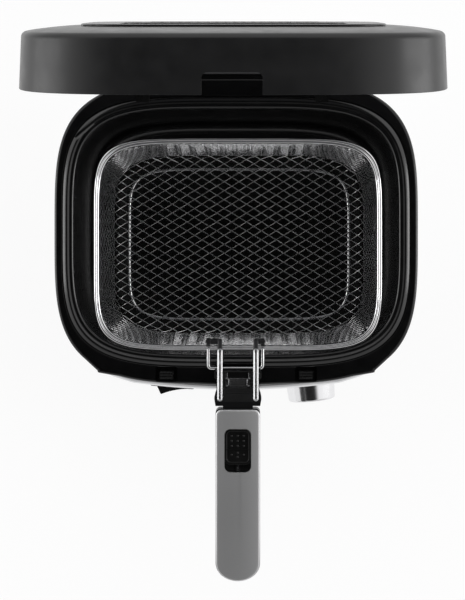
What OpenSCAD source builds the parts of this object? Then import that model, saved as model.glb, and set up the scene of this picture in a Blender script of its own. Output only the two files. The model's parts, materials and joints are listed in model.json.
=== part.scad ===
// Electric deep fryer with a hinged lid, a lift-out pot and a folding-handle wire basket.
// Body axes: +X to the user's right, +Y to the back, +Z up, feet on Z = 0. The handle points to -Y.
// Everything is drawn about the middle of the body and then moved back by frame_y, so that the
// origin lies under the middle of the whole object as it stands with its lid open.

/* [Body] */
// Width of the body across its rim
body_w = 282; // [262:1:310]
// Depth of the body across its rim, front to back
body_d = 237; // [225:1:260]
// Height of the rim that the lid closes on
rim_z = 188; // [180:1:215]
// Squareness of the body's corners, where 2 is an ellipse
corner_n = 3.8; // [3.5:0.1:4.4]
// Wall of the plastic mouldings
wall = 2.5; // [2:0.1:3]
// Thickness of the steel sheet
sheet = 0.8; // [0.6:0.1:1.2]
// Height of the black rim band that covers the top of the casing
skirt_h = 20; // [16:1:24]
// Height of the base tray's inner wall
tray_h = 18; // [12:1:24]

/* [Feet] */
// Radius of a rubber foot
foot_r = 10; // [7:0.5:12]
// Height of a rubber foot
foot_h = 6; // [4:0.5:10]
// Distance of each foot from the middle, left and right
foot_x = 96; // [80:1:100]
// Distance of each foot from the middle, front and back
foot_y = 76; // [60:1:80]

/* [Pot] */
// Width of the rim on each side of the pot's opening
rim_side = 14.5; // [14:0.5:18]
// Width of the rim in front of the pot's opening and behind it
rim_front = 22.5; // [22:0.5:25]
// Inside depth of the pot below its rim
pot_deep = 102; // [95:1:106]
// Width of the pot's flange
flange_w = 8.2; // [7:0.1:9]
// Wall of the pot
pot_t = 2; // [1.5:0.1:2.5]
// How far the pot's wall leans in on its way down
pot_lean = 3.5; // [2:0.5:4]

/* [Basket] */
// Room between the basket and the pot on each side
room_side = 15; // [13:0.5:22]
// Room between the basket and the pot at the front
room_front = 4; // [4:0.5:8]
// Room between the basket and the pot at the back
room_back = 24; // [20:0.5:34]
// How far the basket has slid to the right in the pot
basket_play = 1.4; // [0:0.1:1.5]
// Width of the bright rim band
band_w = 3.9; // [3:0.1:5]
// Radius of the bracket wire
wire_r = 1.3; // [1:0.1:1.5]

/* [Handle] */
// Length of the handle from its pivots to its tip
handle_len = 182; // [165:1:200]
// Width of the grip
grip_w = 34; // [30:1:36]
// Thickness of the grip
grip_h = 20; // [16:1:22]
// Width of one handle arm
arm_w = 4; // [3.5:0.1:5]
// Distance between the middles of the two arms
arm_span = 27.6; // [25:0.1:28]
// Travel of the folding button
button_travel = 5; // [3:0.5:5.5]

/* [Lid] */
// Height of the lid's side wall
lid_h = 36; // [34:0.5:44]
// Rise of the crown above the side wall
crown_h = 4; // [3:0.5:6]
// How far in from the wall the crown does most of its rising
crown_soft = 28; // [20:1:36]
// Angle at which the lid stands open
lid_open = 79.6; // [60:0.1:85]
// Width of the notch for the handle
notch_w = 36.5; // [36.5:0.1:38]
// Height of the notch for the handle
notch_h = 14; // [13.5:0.1:16]
// Width of the window's frame
frame_w = 200; // [180:1:204]
// Depth of the window's frame, front to back
frame_d = 136; // [130:1:140]
// Radius of the hinge pins
pin_r = 2.5; // [2:0.1:2.8]

/* [Controls] */
// Plan radius of the silver front panel
panel_r = 600; // [450:10:900]
// How far the panel stands out beyond the rim
panel_proud = 6.8; // [5:0.1:9]
// Half width of the panel
panel_half = 109; // [105:1:112]
// Distance of the controls below the rim
control_drop = 60; // [52:1:66]
// Diameter of the temperature knob
knob_d = 40; // [32:0.5:42]
// Depth of the temperature knob
knob_h = 14.5; // [10:0.5:18]
// Distance of the knob to the right of the middle
knob_x = 60; // [54:1:62]
// Distance of the switch to the left of the middle
switch_x = 52.5; // [45:0.5:60]
// Length of the rocker
rocker_len = 28; // [24:0.5:30]

/* [Hidden] */
$fn = 48;
gap = 0.3;            // clearance of a seat or a loose fit
run = 0.05;           // radial clearance of a running fit
seg = 72;             // points round an outline
half_w = body_w / 2;
half_d = body_d / 2;

// casing, tray and black rim
case_inset = 2.5;
case_a = half_w - case_inset;
case_b = half_d - case_inset;
tray_z = foot_h;
case_z0 = tray_z + 4;
skirt_z = rim_z - skirt_h;
plate_t = 4;
plate_z = rim_z - plate_t;
ledge_drop = 1.5;

// pot
pot_a = half_w - rim_side;
pot_b = half_d - rim_front;
pot_n = 4.2;
flange_n = 4;
flange_a = pot_a + flange_w;
flange_b = pot_b + flange_w + 0.3;
flange_z0 = rim_z - ledge_drop + gap;
flange_z = flange_z0 + pot_t;
pot_floor = rim_z - pot_deep;
pot_under = pot_floor - pot_t;
pot_round = 9;
mouth_a = pot_a + pot_t + 1.6;
mouth_b = pot_b + pot_t + 1.6;

// heat shield and heater
shield_a = mouth_a + 0.8;
shield_b = mouth_b + 0.8;
shield_top = plate_z - gap;
heater_t = 6;
heater_a = 86;
heater_b = 64;
heater_z = pot_under - gap - heater_t;
element_r = 3.6;
element_ring = 46;
element_ends = 18;
element_end_y = sqrt(element_ring * element_ring - element_ends * element_ends);
sleeve_r = element_r + 0.8;
sleeve_len = 24;
element_z = heater_z - element_r - 0.1;
shield_z = element_z - element_r - 8;
post_r = 4;
cutoff_r = 8;
cutoff_h = 6;
post_x = 66;
post_y = 44;

// tie bolts between the tray and the black rim
bolt_x = half_w - 41;
bolt_y = half_d - 20.5;
bolt_r = 2;

// basket
basket_n = 6;
basket_a = pot_a - room_side;
basket_b = pot_b - (room_front + room_back) / 2;
basket_y = (room_front - room_back) / 2;
band_top = flange_z + gap + 0.2;
band_h = 3.6;
mesh_t = 1.6;
mesh_lean = 4.5;
mesh_round = 8;
mesh_a = basket_a - (band_w - mesh_t) / 2;
mesh_b = basket_b - (band_w - mesh_t) / 2;
base_wire_r = 1.5;
base_wire_z = pot_floor + gap + base_wire_r;
mesh_z = base_wire_z + base_wire_r;

// bracket and arms
bracket_half = 21;
bracket_shift = -1.9;
bracket_z = band_top + wire_r;
bracket_out = 13.5;
bracket_bend = 4;
basket_front = basket_y - basket_b;
bar_y = basket_front - bracket_out;
pivot_y = basket_front + 7;
pivot_z = bracket_z;
pivot_pin_r = 1.1;
eye_r = 2.7;
arm_t = 2.2;
arm_z = bracket_z + wire_r + gap;
arm_tip = pivot_y - 46.2;
arm_rise = 8.5;

// collar and grip, along -Y
collar_y0 = bar_y - wire_r - gap;
collar_w = 36;
groove_w = 32.6;
groove_y0 = -(half_d - 5.6);
groove_y1 = -(half_d + 4);
collar_z0 = rim_z + gap;
collar_top = rim_z + notch_h - 0.9;
collar_end = -(half_d + 15);
neck_w = 23;
neck_y = collar_end - 1.8;
grip_tip = pivot_y - handle_len;
grip_len = neck_y - grip_tip;
grip_z0 = rim_z - 3;
grip_z1 = grip_z0 + grip_h;
cover_t = 2.2;
cover_edge = 0.2;
cover_back = 0.4;
grip_end_deep = 14;
button_w = 20.4;
button_y = neck_y - 15.3;
button_len = 33;
button_deep = 4;
button_round = 4.5;
button_floor = grip_z1 - cover_t - button_deep;
slider_len = button_len - button_travel - 1;
slider_w = button_w - 2 * gap;
latch_w = 20;
latch_t = 1.6;
latch_z = collar_z0 + 3.2;
latch_post_w = 14;
latch_end = button_y - 4;

// lid, drawn closed about its hinge line
lid_inset = 1.5;
lid_a = half_w - lid_inset;
lid_b = half_d - lid_inset;
lid_z0 = rim_z + 0.5;
lid_t = 2.8;
lid_draft = 2.2;
hinge_y = half_d + 3.1;
hinge_z = rim_z;
knuckle_r = 5;
hinge_x = 60;
ear_t = 4;
knuckle_w = 11;
spring_w = 8.4;
hinge_w = 2 * ear_t + knuckle_w + spring_w + 3 * gap;
shelf_half = hinge_x - hinge_w / 2 - 4;
shelf_deep = 8;
brow_r = 585;
brow_out = 0.8;
brow_half = 110.6;
brow_deep = 6.5;
brow_n = 10;
liner_t = 1;
liner_a = lid_a - lid_t - lid_draft - gap;
liner_b = lid_b - lid_t - lid_draft - gap;
liner_top = lid_z0 + lid_h - 6;
gasket_w = 3;
gasket_z = flange_z + gap;
gasket_h = 4;
frame_t = 1;
hole_a = frame_w / 2 - 6;
hole_b = frame_d / 2 - 6;
hole_n = 5;
frame_z = lid_z0 + lid_h + crown_rise(lid_b - hole_b) + gap;
window_side = 26;
window_w = frame_w - 2 * window_side;
window_front = 20;
filter_side = 41;
filter_w = frame_w - 2 * filter_side;
filter_d = 26;
filter_slots = 8;
slot_margin = 7.8;
slot_step = (filter_w - 2 * slot_margin) / (2 * filter_slots);
filter_edge = 17;
filter_y = frame_d / 2 - filter_edge - filter_d / 2;
window_d = frame_d - window_front - 2 * filter_edge - filter_d;
window_y = window_front + window_d / 2 - frame_d / 2;
glass_t = 3;
screw_x = 112;
screw_y = 66;
boss_r = 4;

// front catches
catch_x = 54;
catch_w = 10.8;
catch_y0 = -(half_d - 10.6);
catch_d = 6.7;
catch_h = 8;
catch_travel = 1.6;
pocket_w = 17;
hook_w = 8;
hook_t = 1.2;
pocket_z = rim_z - catch_h;
pocket_floor = pocket_z - gap - 2.5;

// panel, with its axis behind the body
panel_y = panel_r - half_d - panel_proud;
panel_top = skirt_z - 0.4;
panel_foot = case_z0 + 18;
panel_round = 4.5;
panel_lap = 25;
panel_end = [
    [panel_half, half_d - 42], [panel_half, half_d - 9.9], [panel_half - 4.5, half_d - 6.7],
    [panel_half - 11.6, half_d - 3.6], [panel_half - 33, half_d + 3.1], [panel_half - 60, half_d + 20]
];
panel_turn = asin(knob_x / panel_r);
switch_turn = -asin(switch_x / panel_r);
control_z = rim_z - control_drop;
shaft_r = 3;
thermo_r = 14;
thermo_deep = 13;
thermo_y = wall + gap + 0.1;
switch_w = rocker_len + 3;
switch_h = 11;
bezel_rim = 2.2;
bezel_t = 3.4;
rocker_tilt = 16;
rocker_pin_r = 1.2;
lamp_r = 3;

// power inlet
inlet_z = 48;
inlet_w = 44;
inlet_h = 26;
inlet_low = inlet_z - inlet_h / 2;
inlet_high = inlet_z + inlet_h / 2;
inlet_deep = 16;
inlet_rim = 3;

// where the middle of the body lies in the object's own frame
lid_back = hinge_y - 10 * cos(lid_open) + (lid_h + 1) * sin(lid_open);
frame_y = -(lid_back + grip_tip) / 2;

// ---------- shapes that repeat ----------

// Rounded outline with half sizes a and b and squareness n, as points
function outline(a, b, n) = [
    for (i = [0:seg - 1])
        let (c = cos(360 * i / seg), s = sin(360 * i / seg))
        [a * sign(c) * pow(abs(c), 2 / n), b * sign(s) * pow(abs(s), 2 / n)]
];

// How far out that outline lies along Y at distance x from the middle
function outline_y(a, b, n, x) = b * pow(1 - pow(x / a, n), 1 / n);

// The same outline as a ring of points at height z
function ring(a, b, n, z) = [for (p = outline(a, b, n)) [p.x, p.y, z]];

// Rise of the lid's crown at distance i in from its wall
function crown_rise(i) = crown_h * (1 - exp(-i / crown_soft));

// Solid skinned over a list of rings, each with the same number of points
module loft(rings) {
    count = len(rings[0]);
    last = len(rings) - 1;
    points = [for (r = rings) for (p = r) p];
    sides = [
        for (k = [0:last - 1]) for (i = [0:count - 1])
            let (j = (i + 1) % count)
            [k * count + i, (k + 1) * count + i, (k + 1) * count + j, k * count + j]
    ];
    first_cap = [for (i = [0:count - 1]) i];
    last_cap = [for (i = [count - 1:-1:0]) last * count + i];
    polyhedron(points, concat([first_cap], sides, [last_cap]), convexity = 6);
}

// Upright prism of a rounded outline
module prism(a, b, n, z0, z1) {
    translate([0, 0, z0]) linear_extrude(z1 - z0) polygon(outline(a, b, n));
}

// Upright tube between two rounded outlines
module tube(a, b, n, t, z0, z1) {
    difference() {
        prism(a, b, n, z0, z1);
        prism(a - t, b - t, n, z0 - 1, z1 + 1);
    }
}

// Box centred on X, from y0 to y1 and from z0 to z1
module block(w, y0, y1, z0, z1) {
    translate([-w / 2, min(y0, y1), z0]) cube([w, abs(y1 - y0), z1 - z0]);
}

// Rod along X from x0 to x1
module rod_x(r, x0, x1) {
    translate([x0, 0, 0]) rotate([0, 90, 0]) cylinder(r = r, h = x1 - x0);
}

// Rod along -Y of length l, starting at the origin
module rod_out(r, l) {
    rotate([90, 0, 0]) cylinder(r = r, h = l);
}

// Flat bar with round ends along Y, lying on the XY plane
module stadium(w, y0, y1, t) {
    lo = min(y0, y1);
    hi = max(y0, y1);
    block(w, lo + w / 2, hi - w / 2, 0, t);
    for (y = [lo + w / 2, hi - w / 2]) translate([0, y, 0]) cylinder(d = w, h = t);
}

// Coil of round wire about Z
module coil(r, wire, turns, h) {
    step = 30;
    sides = 6;
    rings = [
        for (k = [0:turns * 360 / step])
            let (a = k * step, z = h * a / (360 * turns))
            [for (i = [0:sides - 1]) let (q = 360 * i / sides)
                [(r + wire * cos(q)) * cos(a), (r + wire * cos(q)) * sin(a), z + wire * sin(q)]]
    ];
    loft([for (k = [len(rings) - 1:-1:0]) rings[k]]);
}

// Puts its children on both sides of the body
module both_sides(x) {
    for (side = [-1, 1]) translate([side * x, 0, 0]) children();
}

// Puts its children on the hinge line at both hinge stations, mirrored left to right
module hinge_stations() {
    for (side = [0, 1]) mirror([side, 0, 0]) translate([hinge_x, hinge_y, hinge_z]) children();
}

// Puts its children at the four corners of a rectangle
module corners(x, y) {
    for (sx = [-1, 1], sy = [-1, 1]) translate([sx * x, sy * y, 0]) children();
}

// From the middle of the body to the object's own frame
module place() {
    translate([0, frame_y, 0]) children();
}

// Lid parts are drawn closed and swung open about the hinge line
module lid_place() {
    place() translate([0, hinge_y, hinge_z]) rotate([-lid_open, 0, 0]) translate([0, -hinge_y, -hinge_z])
        children();
}

// Basket and handle parts sit a little to the right in the pot
module basket_place() {
    place() translate([basket_play, 0, 0]) children();
}

// A spot on the front panel, where -Y points straight out of it
module on_panel(turn) {
    place() translate([0, panel_y, control_z]) rotate([0, 0, turn]) translate([0, -panel_r, 0]) children();
}

// ---------- base ----------

// Floor tray that closes the body from below, with vent slots and holes for feet and bolts
module base_tray() {
    color("#1d1d1f") place() difference() {
        union() {
            prism(case_a, case_b, corner_n, tray_z, case_z0);
            tube(case_a - sheet - gap, case_b - sheet - gap, corner_n, wall, tray_z, tray_z + tray_h);
        }
        prism(case_a - sheet - gap - wall, case_b - sheet - gap - wall, corner_n,
              tray_z + wall, case_z0 + 1);
        for (i = [-3:3]) translate([i * 18, 0, 0]) block(5, -30, 30, tray_z - 1, tray_z + wall + 1);
        corners(foot_x, foot_y) translate([0, 0, tray_z - 1]) cylinder(r = foot_r / 3 + run, h = wall + 2);
        corners(bolt_x, bolt_y) translate([0, 0, tray_z - 1]) cylinder(r = bolt_r + 0.2, h = wall + 2);
    }
}

// Four rubber feet, each with a stem pressed up through the tray
module feet() {
    color("#2a2a2a") place() corners(foot_x, foot_y) {
        cylinder(r = foot_r, h = foot_h);
        cylinder(r = foot_r / 3, h = foot_h + wall);
        translate([0, 0, foot_h + wall]) cylinder(r = foot_r / 2.4, h = 1);
    }
}

// Brushed steel skin, open behind the panel and at the inlet
module outer_casing() {
    color("#c9cacb") place() difference() {
        tube(case_a, case_b, corner_n, sheet, case_z0, plate_z - gap);
        block(2 * (panel_half - panel_lap), -half_d - 5, -half_d + 22, panel_foot + 6, panel_top - 8);
        block(inlet_w + 2 * gap, half_d - 12, half_d + 5, inlet_low - gap, inlet_high + gap);
        both_sides(catch_x)
            block(pocket_w + 4 + 2 * gap, -half_d - 1, -half_d + 12, pocket_floor - gap, rim_z);
    }
}

// Black top rim: ledge for the lid, recess for the pot's flange, catch pockets, hinge ears, and a
// shelf behind that closes the gap under the open lid
module top_deck() {
    inner_a = case_a + gap;
    inner_b = case_b + gap;
    color("#141415") place() difference() {
        union() {
            loft([
                ring(half_w, half_d, corner_n, skirt_z),
                ring(half_w, half_d, corner_n, rim_z - 2),
                ring(half_w - 0.6, half_d - 0.6, corner_n, rim_z - 0.6),
                ring(half_w - 2, half_d - 2, corner_n, rim_z)
            ]);
            intersection() {
                translate([0, brow_r - half_d - brow_out, skirt_z])
                    cylinder(r = brow_r, h = skirt_h - 0.6, $fn = 360);
                prism(brow_half, half_d + brow_deep, brow_n, skirt_z, rim_z - 0.6);
                block(2 * brow_half, -half_d - 5, 0, skirt_z, rim_z);
            }
            hinge_stations() hinge_ears();
            block(2 * shelf_half, half_d - 5, half_d + shelf_deep, skirt_z, rim_z - 0.6);
        }
        difference() {
            prism(inner_a, inner_b, corner_n, skirt_z - 1, plate_z);
            both_sides(catch_x) block(pocket_w + 4, -half_d - 1, catch_y0 + 5.2, pocket_floor, plate_z + 1);
            corners(bolt_x, bolt_y) translate([0, 0, plate_z - 8]) cylinder(r = 5, h = 9);
        }
        prism(mouth_a, mouth_b, pot_n, skirt_z - 1, rim_z + 1);
        prism(flange_a + gap, flange_b + gap, flange_n, rim_z - ledge_drop, rim_z + 1);
        both_sides(catch_x) block(pocket_w, catch_y0 - catch_d - catch_travel - gap, catch_y0 + 3.2,
                                  pocket_z - gap, rim_z + 1);
        hinge_stations() {
            rod_x(pin_r + run, -hinge_w, hinge_w);
            translate([-hinge_w / 2 + ear_t, -6, -6.5]) cube([hinge_w - 2 * ear_t, 20, 20]);
        }
        corners(bolt_x, bolt_y) translate([0, 0, plate_z - 9]) cylinder(r = bolt_r + run, h = 9);
    }
}

// Pair of ears on the back of the rim, about a hinge station
module hinge_ears() {
    for (x = [-hinge_w / 2, hinge_w / 2 - ear_t]) translate([x, 0, 0]) {
        rod_x(knuckle_r, 0, ear_t);
        translate([0, -10, -skirt_h + 2]) cube([ear_t, 10 + knuckle_r, skirt_h - 2]);
    }
}

// Steel tub round the pot, which keeps its heat off the casing
module heat_shield() {
    color("#b9babc") place() difference() {
        prism(shield_a + sheet, shield_b + sheet, pot_n, shield_z, shield_top);
        prism(shield_a, shield_b, pot_n, shield_z + sheet, shield_top + 1);
        both_sides(element_ends) translate([0, element_end_y, shield_z - 1])
            cylinder(r = sleeve_r + gap, h = 4);
    }
}

// Cast plate that presses heat into the pot's floor
module heater_plate() {
    color("#a9abae") place() prism(heater_a, heater_b, 2.6, heater_z, heater_z + heater_t);
}

// Tubular element bent round under the plate, with two sleeved cold ends through the shield
module heating_element() {
    open_angle = 2 * asin(element_ends / element_ring);
    color("#6e6a66") place() {
        translate([0, 0, element_z]) rotate([0, 0, 90 + open_angle / 2])
            rotate_extrude(angle = 360 - open_angle) translate([element_ring, 0]) circle(r = element_r);
        both_sides(element_ends) translate([0, element_end_y, element_z + element_r / 2 - sleeve_len])
            cylinder(r = sleeve_r, h = sleeve_len);
    }
}

// Four posts that carry the plate on the shield's floor
module heater_posts() {
    color("#8d8f92") place() corners(post_x, post_y)
        translate([0, 0, shield_z + sheet]) cylinder(r = post_r, h = heater_z - shield_z - sheet);
}

// Over-temperature cut-out clipped against the middle of the plate
module thermal_cutoff() {
    color("#3b3b3d") place() translate([0, 0, shield_z + sheet]) {
        cylinder(r = cutoff_r, h = cutoff_h);
        cylinder(r = cutoff_r + 2, h = 1.2);
        cylinder(r = cutoff_r - 1.5, h = heater_z - shield_z - sheet);
    }
}

// Four long bolts that clamp the casing between the tray and the rim
module tie_bolts() {
    color("#9a9c9f") place() corners(bolt_x, bolt_y) {
        translate([0, 0, tray_z - 1.6]) cylinder(r = 3.6, h = 1.6);
        translate([0, 0, tray_z - 1]) cylinder(r = bolt_r, h = plate_z - tray_z - 0.5);
    }
}

// Steel pins through the rim's ears and the lid's knuckles
module hinge_pins() {
    color("#b4b6b8") place() hinge_stations() {
        rod_x(pin_r, -hinge_w / 2 - 0.5, hinge_w / 2 + 0.5);
        rod_x(pin_r + 1, -hinge_w / 2 - 1.7, -hinge_w / 2 - 0.1);
    }
}

// Torsion springs on the pins, beside each knuckle
module lid_springs() {
    wire = 0.7;
    x0 = -hinge_w / 2 + ear_t + gap + knuckle_w + gap;
    color("#8f9194") place() hinge_stations()
        translate([x0, 0, 0]) rotate([0, 90, 0]) translate([0, 0, wire + 0.1])
            coil(pin_r + wire + 0.15, wire, 4, spring_w - 2 * wire - 0.3);
}

// ---------- controls ----------

// Section of the panel, as radius and height, drawn in by i
function panel_section(i) = [
    [panel_r - 30, panel_top - i],
    [panel_r - panel_round - i, panel_top - i],
    [panel_r - 0.3 * panel_round - i, panel_top - 0.3 * panel_round - i],
    [panel_r - i, panel_top - panel_round - i],
    [panel_r - i, panel_foot + 22],
    [panel_r - 2 - i, panel_foot + 8],
    [panel_r - 6 - i, panel_foot + i],
    [panel_r - 30, panel_foot + i]
];

// Body swept by that section inside a plan that bends back at both ends
module panel_form(i) {
    sweep = 14;
    intersection() {
        translate([0, panel_y, 0]) rotate([0, 0, -90 - sweep]) rotate_extrude(angle = 2 * sweep, $fn = 720)
            polygon(panel_section(i));
        translate([0, 0, panel_foot - 1]) linear_extrude(panel_top - panel_foot + 2)
            polygon(concat([for (p = panel_end) [p.x - i, i - p.y]],
                           [for (k = [len(panel_end) - 1:-1:0]) [i - panel_end[k].x, i - panel_end[k].y]]));
    }
}

// Silver front housing with openings for the knob's shaft, the switch and the lamp
module front_panel() {
    color("#b8babc") difference() {
        place() difference() {
            panel_form(0);
            panel_form(wall);
            prism(case_a + gap, case_b + gap, corner_n, 0, rim_z);
        }
        on_panel(panel_turn) translate([0, 5, 0]) rod_out(shaft_r + 0.6, 12);
        on_panel(switch_turn) block(switch_w + 2 * gap, -6, 8, -switch_h / 2 - gap, switch_h / 2 + gap);
        on_panel(0) translate([0, 5, 0]) rod_out(lamp_r + 0.1, 12);
    }
}

// Thermostat behind the panel, held on its inner face
module thermostat() {
    color("#77797c") on_panel(panel_turn) difference() {
        union() {
            translate([0, thermo_y + thermo_deep, 0]) rod_out(thermo_r, thermo_deep);
            block(2 * thermo_r + 4, thermo_y, thermo_y + 2, -9, 9);
            translate([0, thermo_y + thermo_deep + 2.5, 4 - thermo_r]) rod_out(2, 3);
        }
        translate([0, thermo_y + thermo_deep - 2, 0]) rod_out(shaft_r + run, thermo_deep + 5);
    }
}

// Spindle that the knob turns
module thermostat_shaft() {
    shaft_y = thermo_y + thermo_deep - 3;
    color("#d0d1d2") on_panel(panel_turn)
        translate([0, shaft_y, 0]) rod_out(shaft_r, shaft_y + knob_h - 3);
}

// Bright turned knob with a pointer slot in its face
module temperature_knob() {
    r = knob_d / 2;
    color("#d7d8d9") on_panel(panel_turn) difference() {
        translate([0, -0.4, 0]) rotate([90, 0, 0]) rotate_extrude($fn = 96)
            polygon([[0, 0], [r, 0], [r, 1.5], [r - 0.3, knob_h - 1.2], [r - 1.5, knob_h], [0, knob_h]]);
        translate([0, 1, 0]) rod_out(shaft_r, knob_h - 2);
        translate([0, -knob_h - 0.4, 0]) block(1.4, -1, 0.7, r * 0.45, r - 3);
    }
}

// Housing of the rocker switch, with its rim on the panel's face
module switch_housing() {
    rim_w = switch_w + 2 * bezel_rim;
    rim_h = switch_h + 2 * bezel_rim;
    color("#1a1a1b") on_panel(switch_turn) difference() {
        union() {
            block(rim_w, -bezel_t - 0.2, -0.2, -rim_h / 2, rim_h / 2);
            block(switch_w, -0.3, 15, -switch_h / 2, switch_h / 2);
            both_sides(switch_w / 4) block(4.8, 15, 19, -0.4, 0.4);
        }
        block(switch_w - 1.6, -bezel_t - 1, 10, -switch_h / 2 + 0.9, switch_h / 2 - 0.9);
        translate([0, 0.5, -switch_h / 2 + 0.3]) cylinder(r = rocker_pin_r + run, h = switch_h - 0.6);
    }
}

// Rocker with its left end pressed out, and its upright pivot pin
module switch_rocker() {
    half = rocker_len / 2;
    thick = switch_h - 1.8 - 2 * gap;
    color("#101011") on_panel(switch_turn) translate([0, 0.5, 0]) rotate([0, 0, rocker_tilt]) {
        translate([0, 0, -thick / 2]) linear_extrude(thick)
            polygon([
                [0.8 - half, -1.5], [2.4 - half, -8], [3 - half, -8.3], [0, -7.3], [half - 3, -8.3],
                [half - 2.4, -8], [half - 0.8, -1.5], [half - 1, 0.5], [3, 4], [-3, 4], [1 - half, 0.5]
            ]);
        translate([0, 0, -switch_h / 2 + 0.4]) cylinder(r = rocker_pin_r, h = switch_h - 0.8);
    }
}

// Small lamp lens between the switch and the knob
module ready_lamp() {
    color("#c8281e") on_panel(0) {
        translate([0, 5, 0]) rod_out(lamp_r, 5.6);
        translate([0, 8, 0]) rod_out(lamp_r + 1, 8 - wall - 0.1);
    }
}

// Recessed inlet at the back for a break-away lead
module power_inlet() {
    y1 = case_b + gap;
    color("#18181a") place() difference() {
        union() {
            block(inlet_w, y1 - inlet_deep, y1 + 0.1, inlet_low, inlet_high);
            block(inlet_w + 2 * inlet_rim, y1, y1 + 2, inlet_low - inlet_rim, inlet_high + inlet_rim);
        }
        block(inlet_w - 2 * inlet_rim, y1 - inlet_deep + wall, y1 + 3,
              inlet_low + inlet_rim, inlet_high - inlet_rim);
        both_sides(9) translate([0, y1, inlet_z]) rod_out(2.2 + run, inlet_deep + 1);
    }
}

// Two contact pins in the inlet
module inlet_pins() {
    color("#d8b45a") place() both_sides(9)
        translate([0, case_b + gap - 3, inlet_z]) rod_out(2.2, inlet_deep + 2);
}

// One ribbed catch of the pair that hold the lid's hooks
module lid_catch(side) {
    color("#1b1b1c") place() translate([side * catch_x, 0, 0]) {
        block(catch_w, catch_y0 - catch_d, catch_y0, pocket_z, rim_z - gap);
        for (i = [0:2]) translate([0.6 - catch_w / 2, catch_y0 - 1.2 - i * 2.1, rim_z - gap])
            rod_x(0.45, 0, catch_w - 1.2, $fn = 24);
    }
}

module catch_left() {
    lid_catch(-1);
}

module catch_right() {
    lid_catch(1);
}

// ---------- pot ----------

// Coated oil pot with a rolled flange and a small pouring notch at its back left corner
module pot() {
    low = pot_floor + pot_round;
    function out(i, z) = ring(pot_a + pot_t - i, pot_b + pot_t - i, pot_n, z);
    function inside(i, z) = ring(pot_a - i, pot_b - i, pot_n, z);
    color("#17171a") place() difference() {
        loft([
            out(pot_lean + pot_round, pot_under),
            out(pot_lean + 4, pot_under + 2),
            out(pot_lean + 1, pot_under + 5.5),
            out(pot_lean, low),
            out(0.6, flange_z0 - 6),
            out(0, flange_z0),
            ring(flange_a - 0.8, flange_b - 0.8, flange_n, flange_z0),
            ring(flange_a, flange_b, flange_n, flange_z0 + 0.8),
            ring(flange_a - 0.9, flange_b - 0.9, flange_n, flange_z),
            ring(flange_a - 4.6, flange_b - 4.6, flange_n, flange_z - 0.7),
            inside(-0.8, flange_z - 0.9),
            inside(0.4, flange_z - 3),
            inside(pot_lean, low),
            inside(pot_lean + 1.6, pot_floor + 4.5),
            inside(pot_lean + 5, pot_floor + 1.2),
            inside(pot_lean + pot_round, pot_floor)
        ]);
        translate([-0.93 * pot_a, 0.82 * pot_b, flange_z + 2.2]) rotate([0, 0, 40]) rod_x(3.4, -9, 9);
    }
}

// ---------- basket ----------

// Thin tub that stands for the woven wire of the basket
module basket_mesh() {
    top = band_top - band_h;
    function out(i, z) = ring(mesh_a - i, mesh_b - i, basket_n, z);
    function inside(i, z) = ring(mesh_a - mesh_t - i, mesh_b - mesh_t - i, basket_n, z);
    color("#c2c4c6") basket_place() translate([0, basket_y, 0]) loft([
        out(mesh_lean + mesh_round, mesh_z),
        out(mesh_lean + 2.6, mesh_z + 2.2),
        out(mesh_lean, mesh_z + mesh_round),
        out(0, top),
        inside(0, top),
        inside(mesh_lean, mesh_z + mesh_round),
        inside(mesh_lean + 2.6, mesh_z + 2.2 + 0.7 * mesh_t),
        inside(mesh_lean + mesh_round, mesh_z + mesh_t)
    ]);
}

// Bright band that closes the top of the mesh
module basket_rim() {
    color("#dddedf") basket_place() translate([0, basket_y, 0])
        tube(basket_a, basket_b, basket_n, band_w, band_top - band_h, band_top);
}

// Wire ring under the basket, which stands on the pot's floor
module basket_base_ring() {
    inset = mesh_lean + mesh_round + 3;
    color("#c8cacc") basket_place() translate([0, basket_y, 0])
        tube(mesh_a - inset, mesh_b - inset, basket_n, 2 * base_wire_r, base_wire_z - base_wire_r,
             base_wire_z + base_wire_r);
}

// Wire loop welded on the rim, over the pot's flange, and two eyes inside the rim for the handle's
// pivots. The loop sits a little to the left, as the handle has some side play in the eyes.
module basket_bracket() {
    leg_y = basket_front + wire_r;
    eye_half = wire_r + 0.2;
    eye_root = basket_front + band_w + 0.12;
    color("#d2d3d4") basket_place() translate([bracket_shift, 0, bracket_z]) difference() {
        union() {
            translate([0, bar_y, 0]) rod_x(wire_r, bracket_bend - bracket_half, bracket_half - bracket_bend);
            for (side = [0, 1]) mirror([side, 0, 0]) {
                translate([bracket_half - bracket_bend, bar_y + bracket_bend, 0]) rotate([0, 0, -90])
                    rotate_extrude(angle = 90) translate([bracket_bend, 0]) circle(r = wire_r);
                translate([bracket_half, leg_y, 0]) rod_out(wire_r, leg_y - bar_y - bracket_bend);
                translate([bracket_half, pivot_y, 0]) rod_x(eye_r, -eye_half, eye_half);
                translate([bracket_half, 0, 0])
                    block(2 * eye_half, eye_root, pivot_y, -band_h, -wire_r - 0.3);
            }
        }
        both_sides(bracket_half) translate([0, pivot_y, 0]) rod_x(pivot_pin_r + run, -5, 5);
    }
}

// ---------- handle ----------

// Tips its children up towards the collar, about the handle's pivots
module arm_incline() {
    translate([0, pivot_y, pivot_z]) rotate([-arm_rise, 0, 0]) translate([0, -pivot_y, -pivot_z]) children();
}

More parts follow.
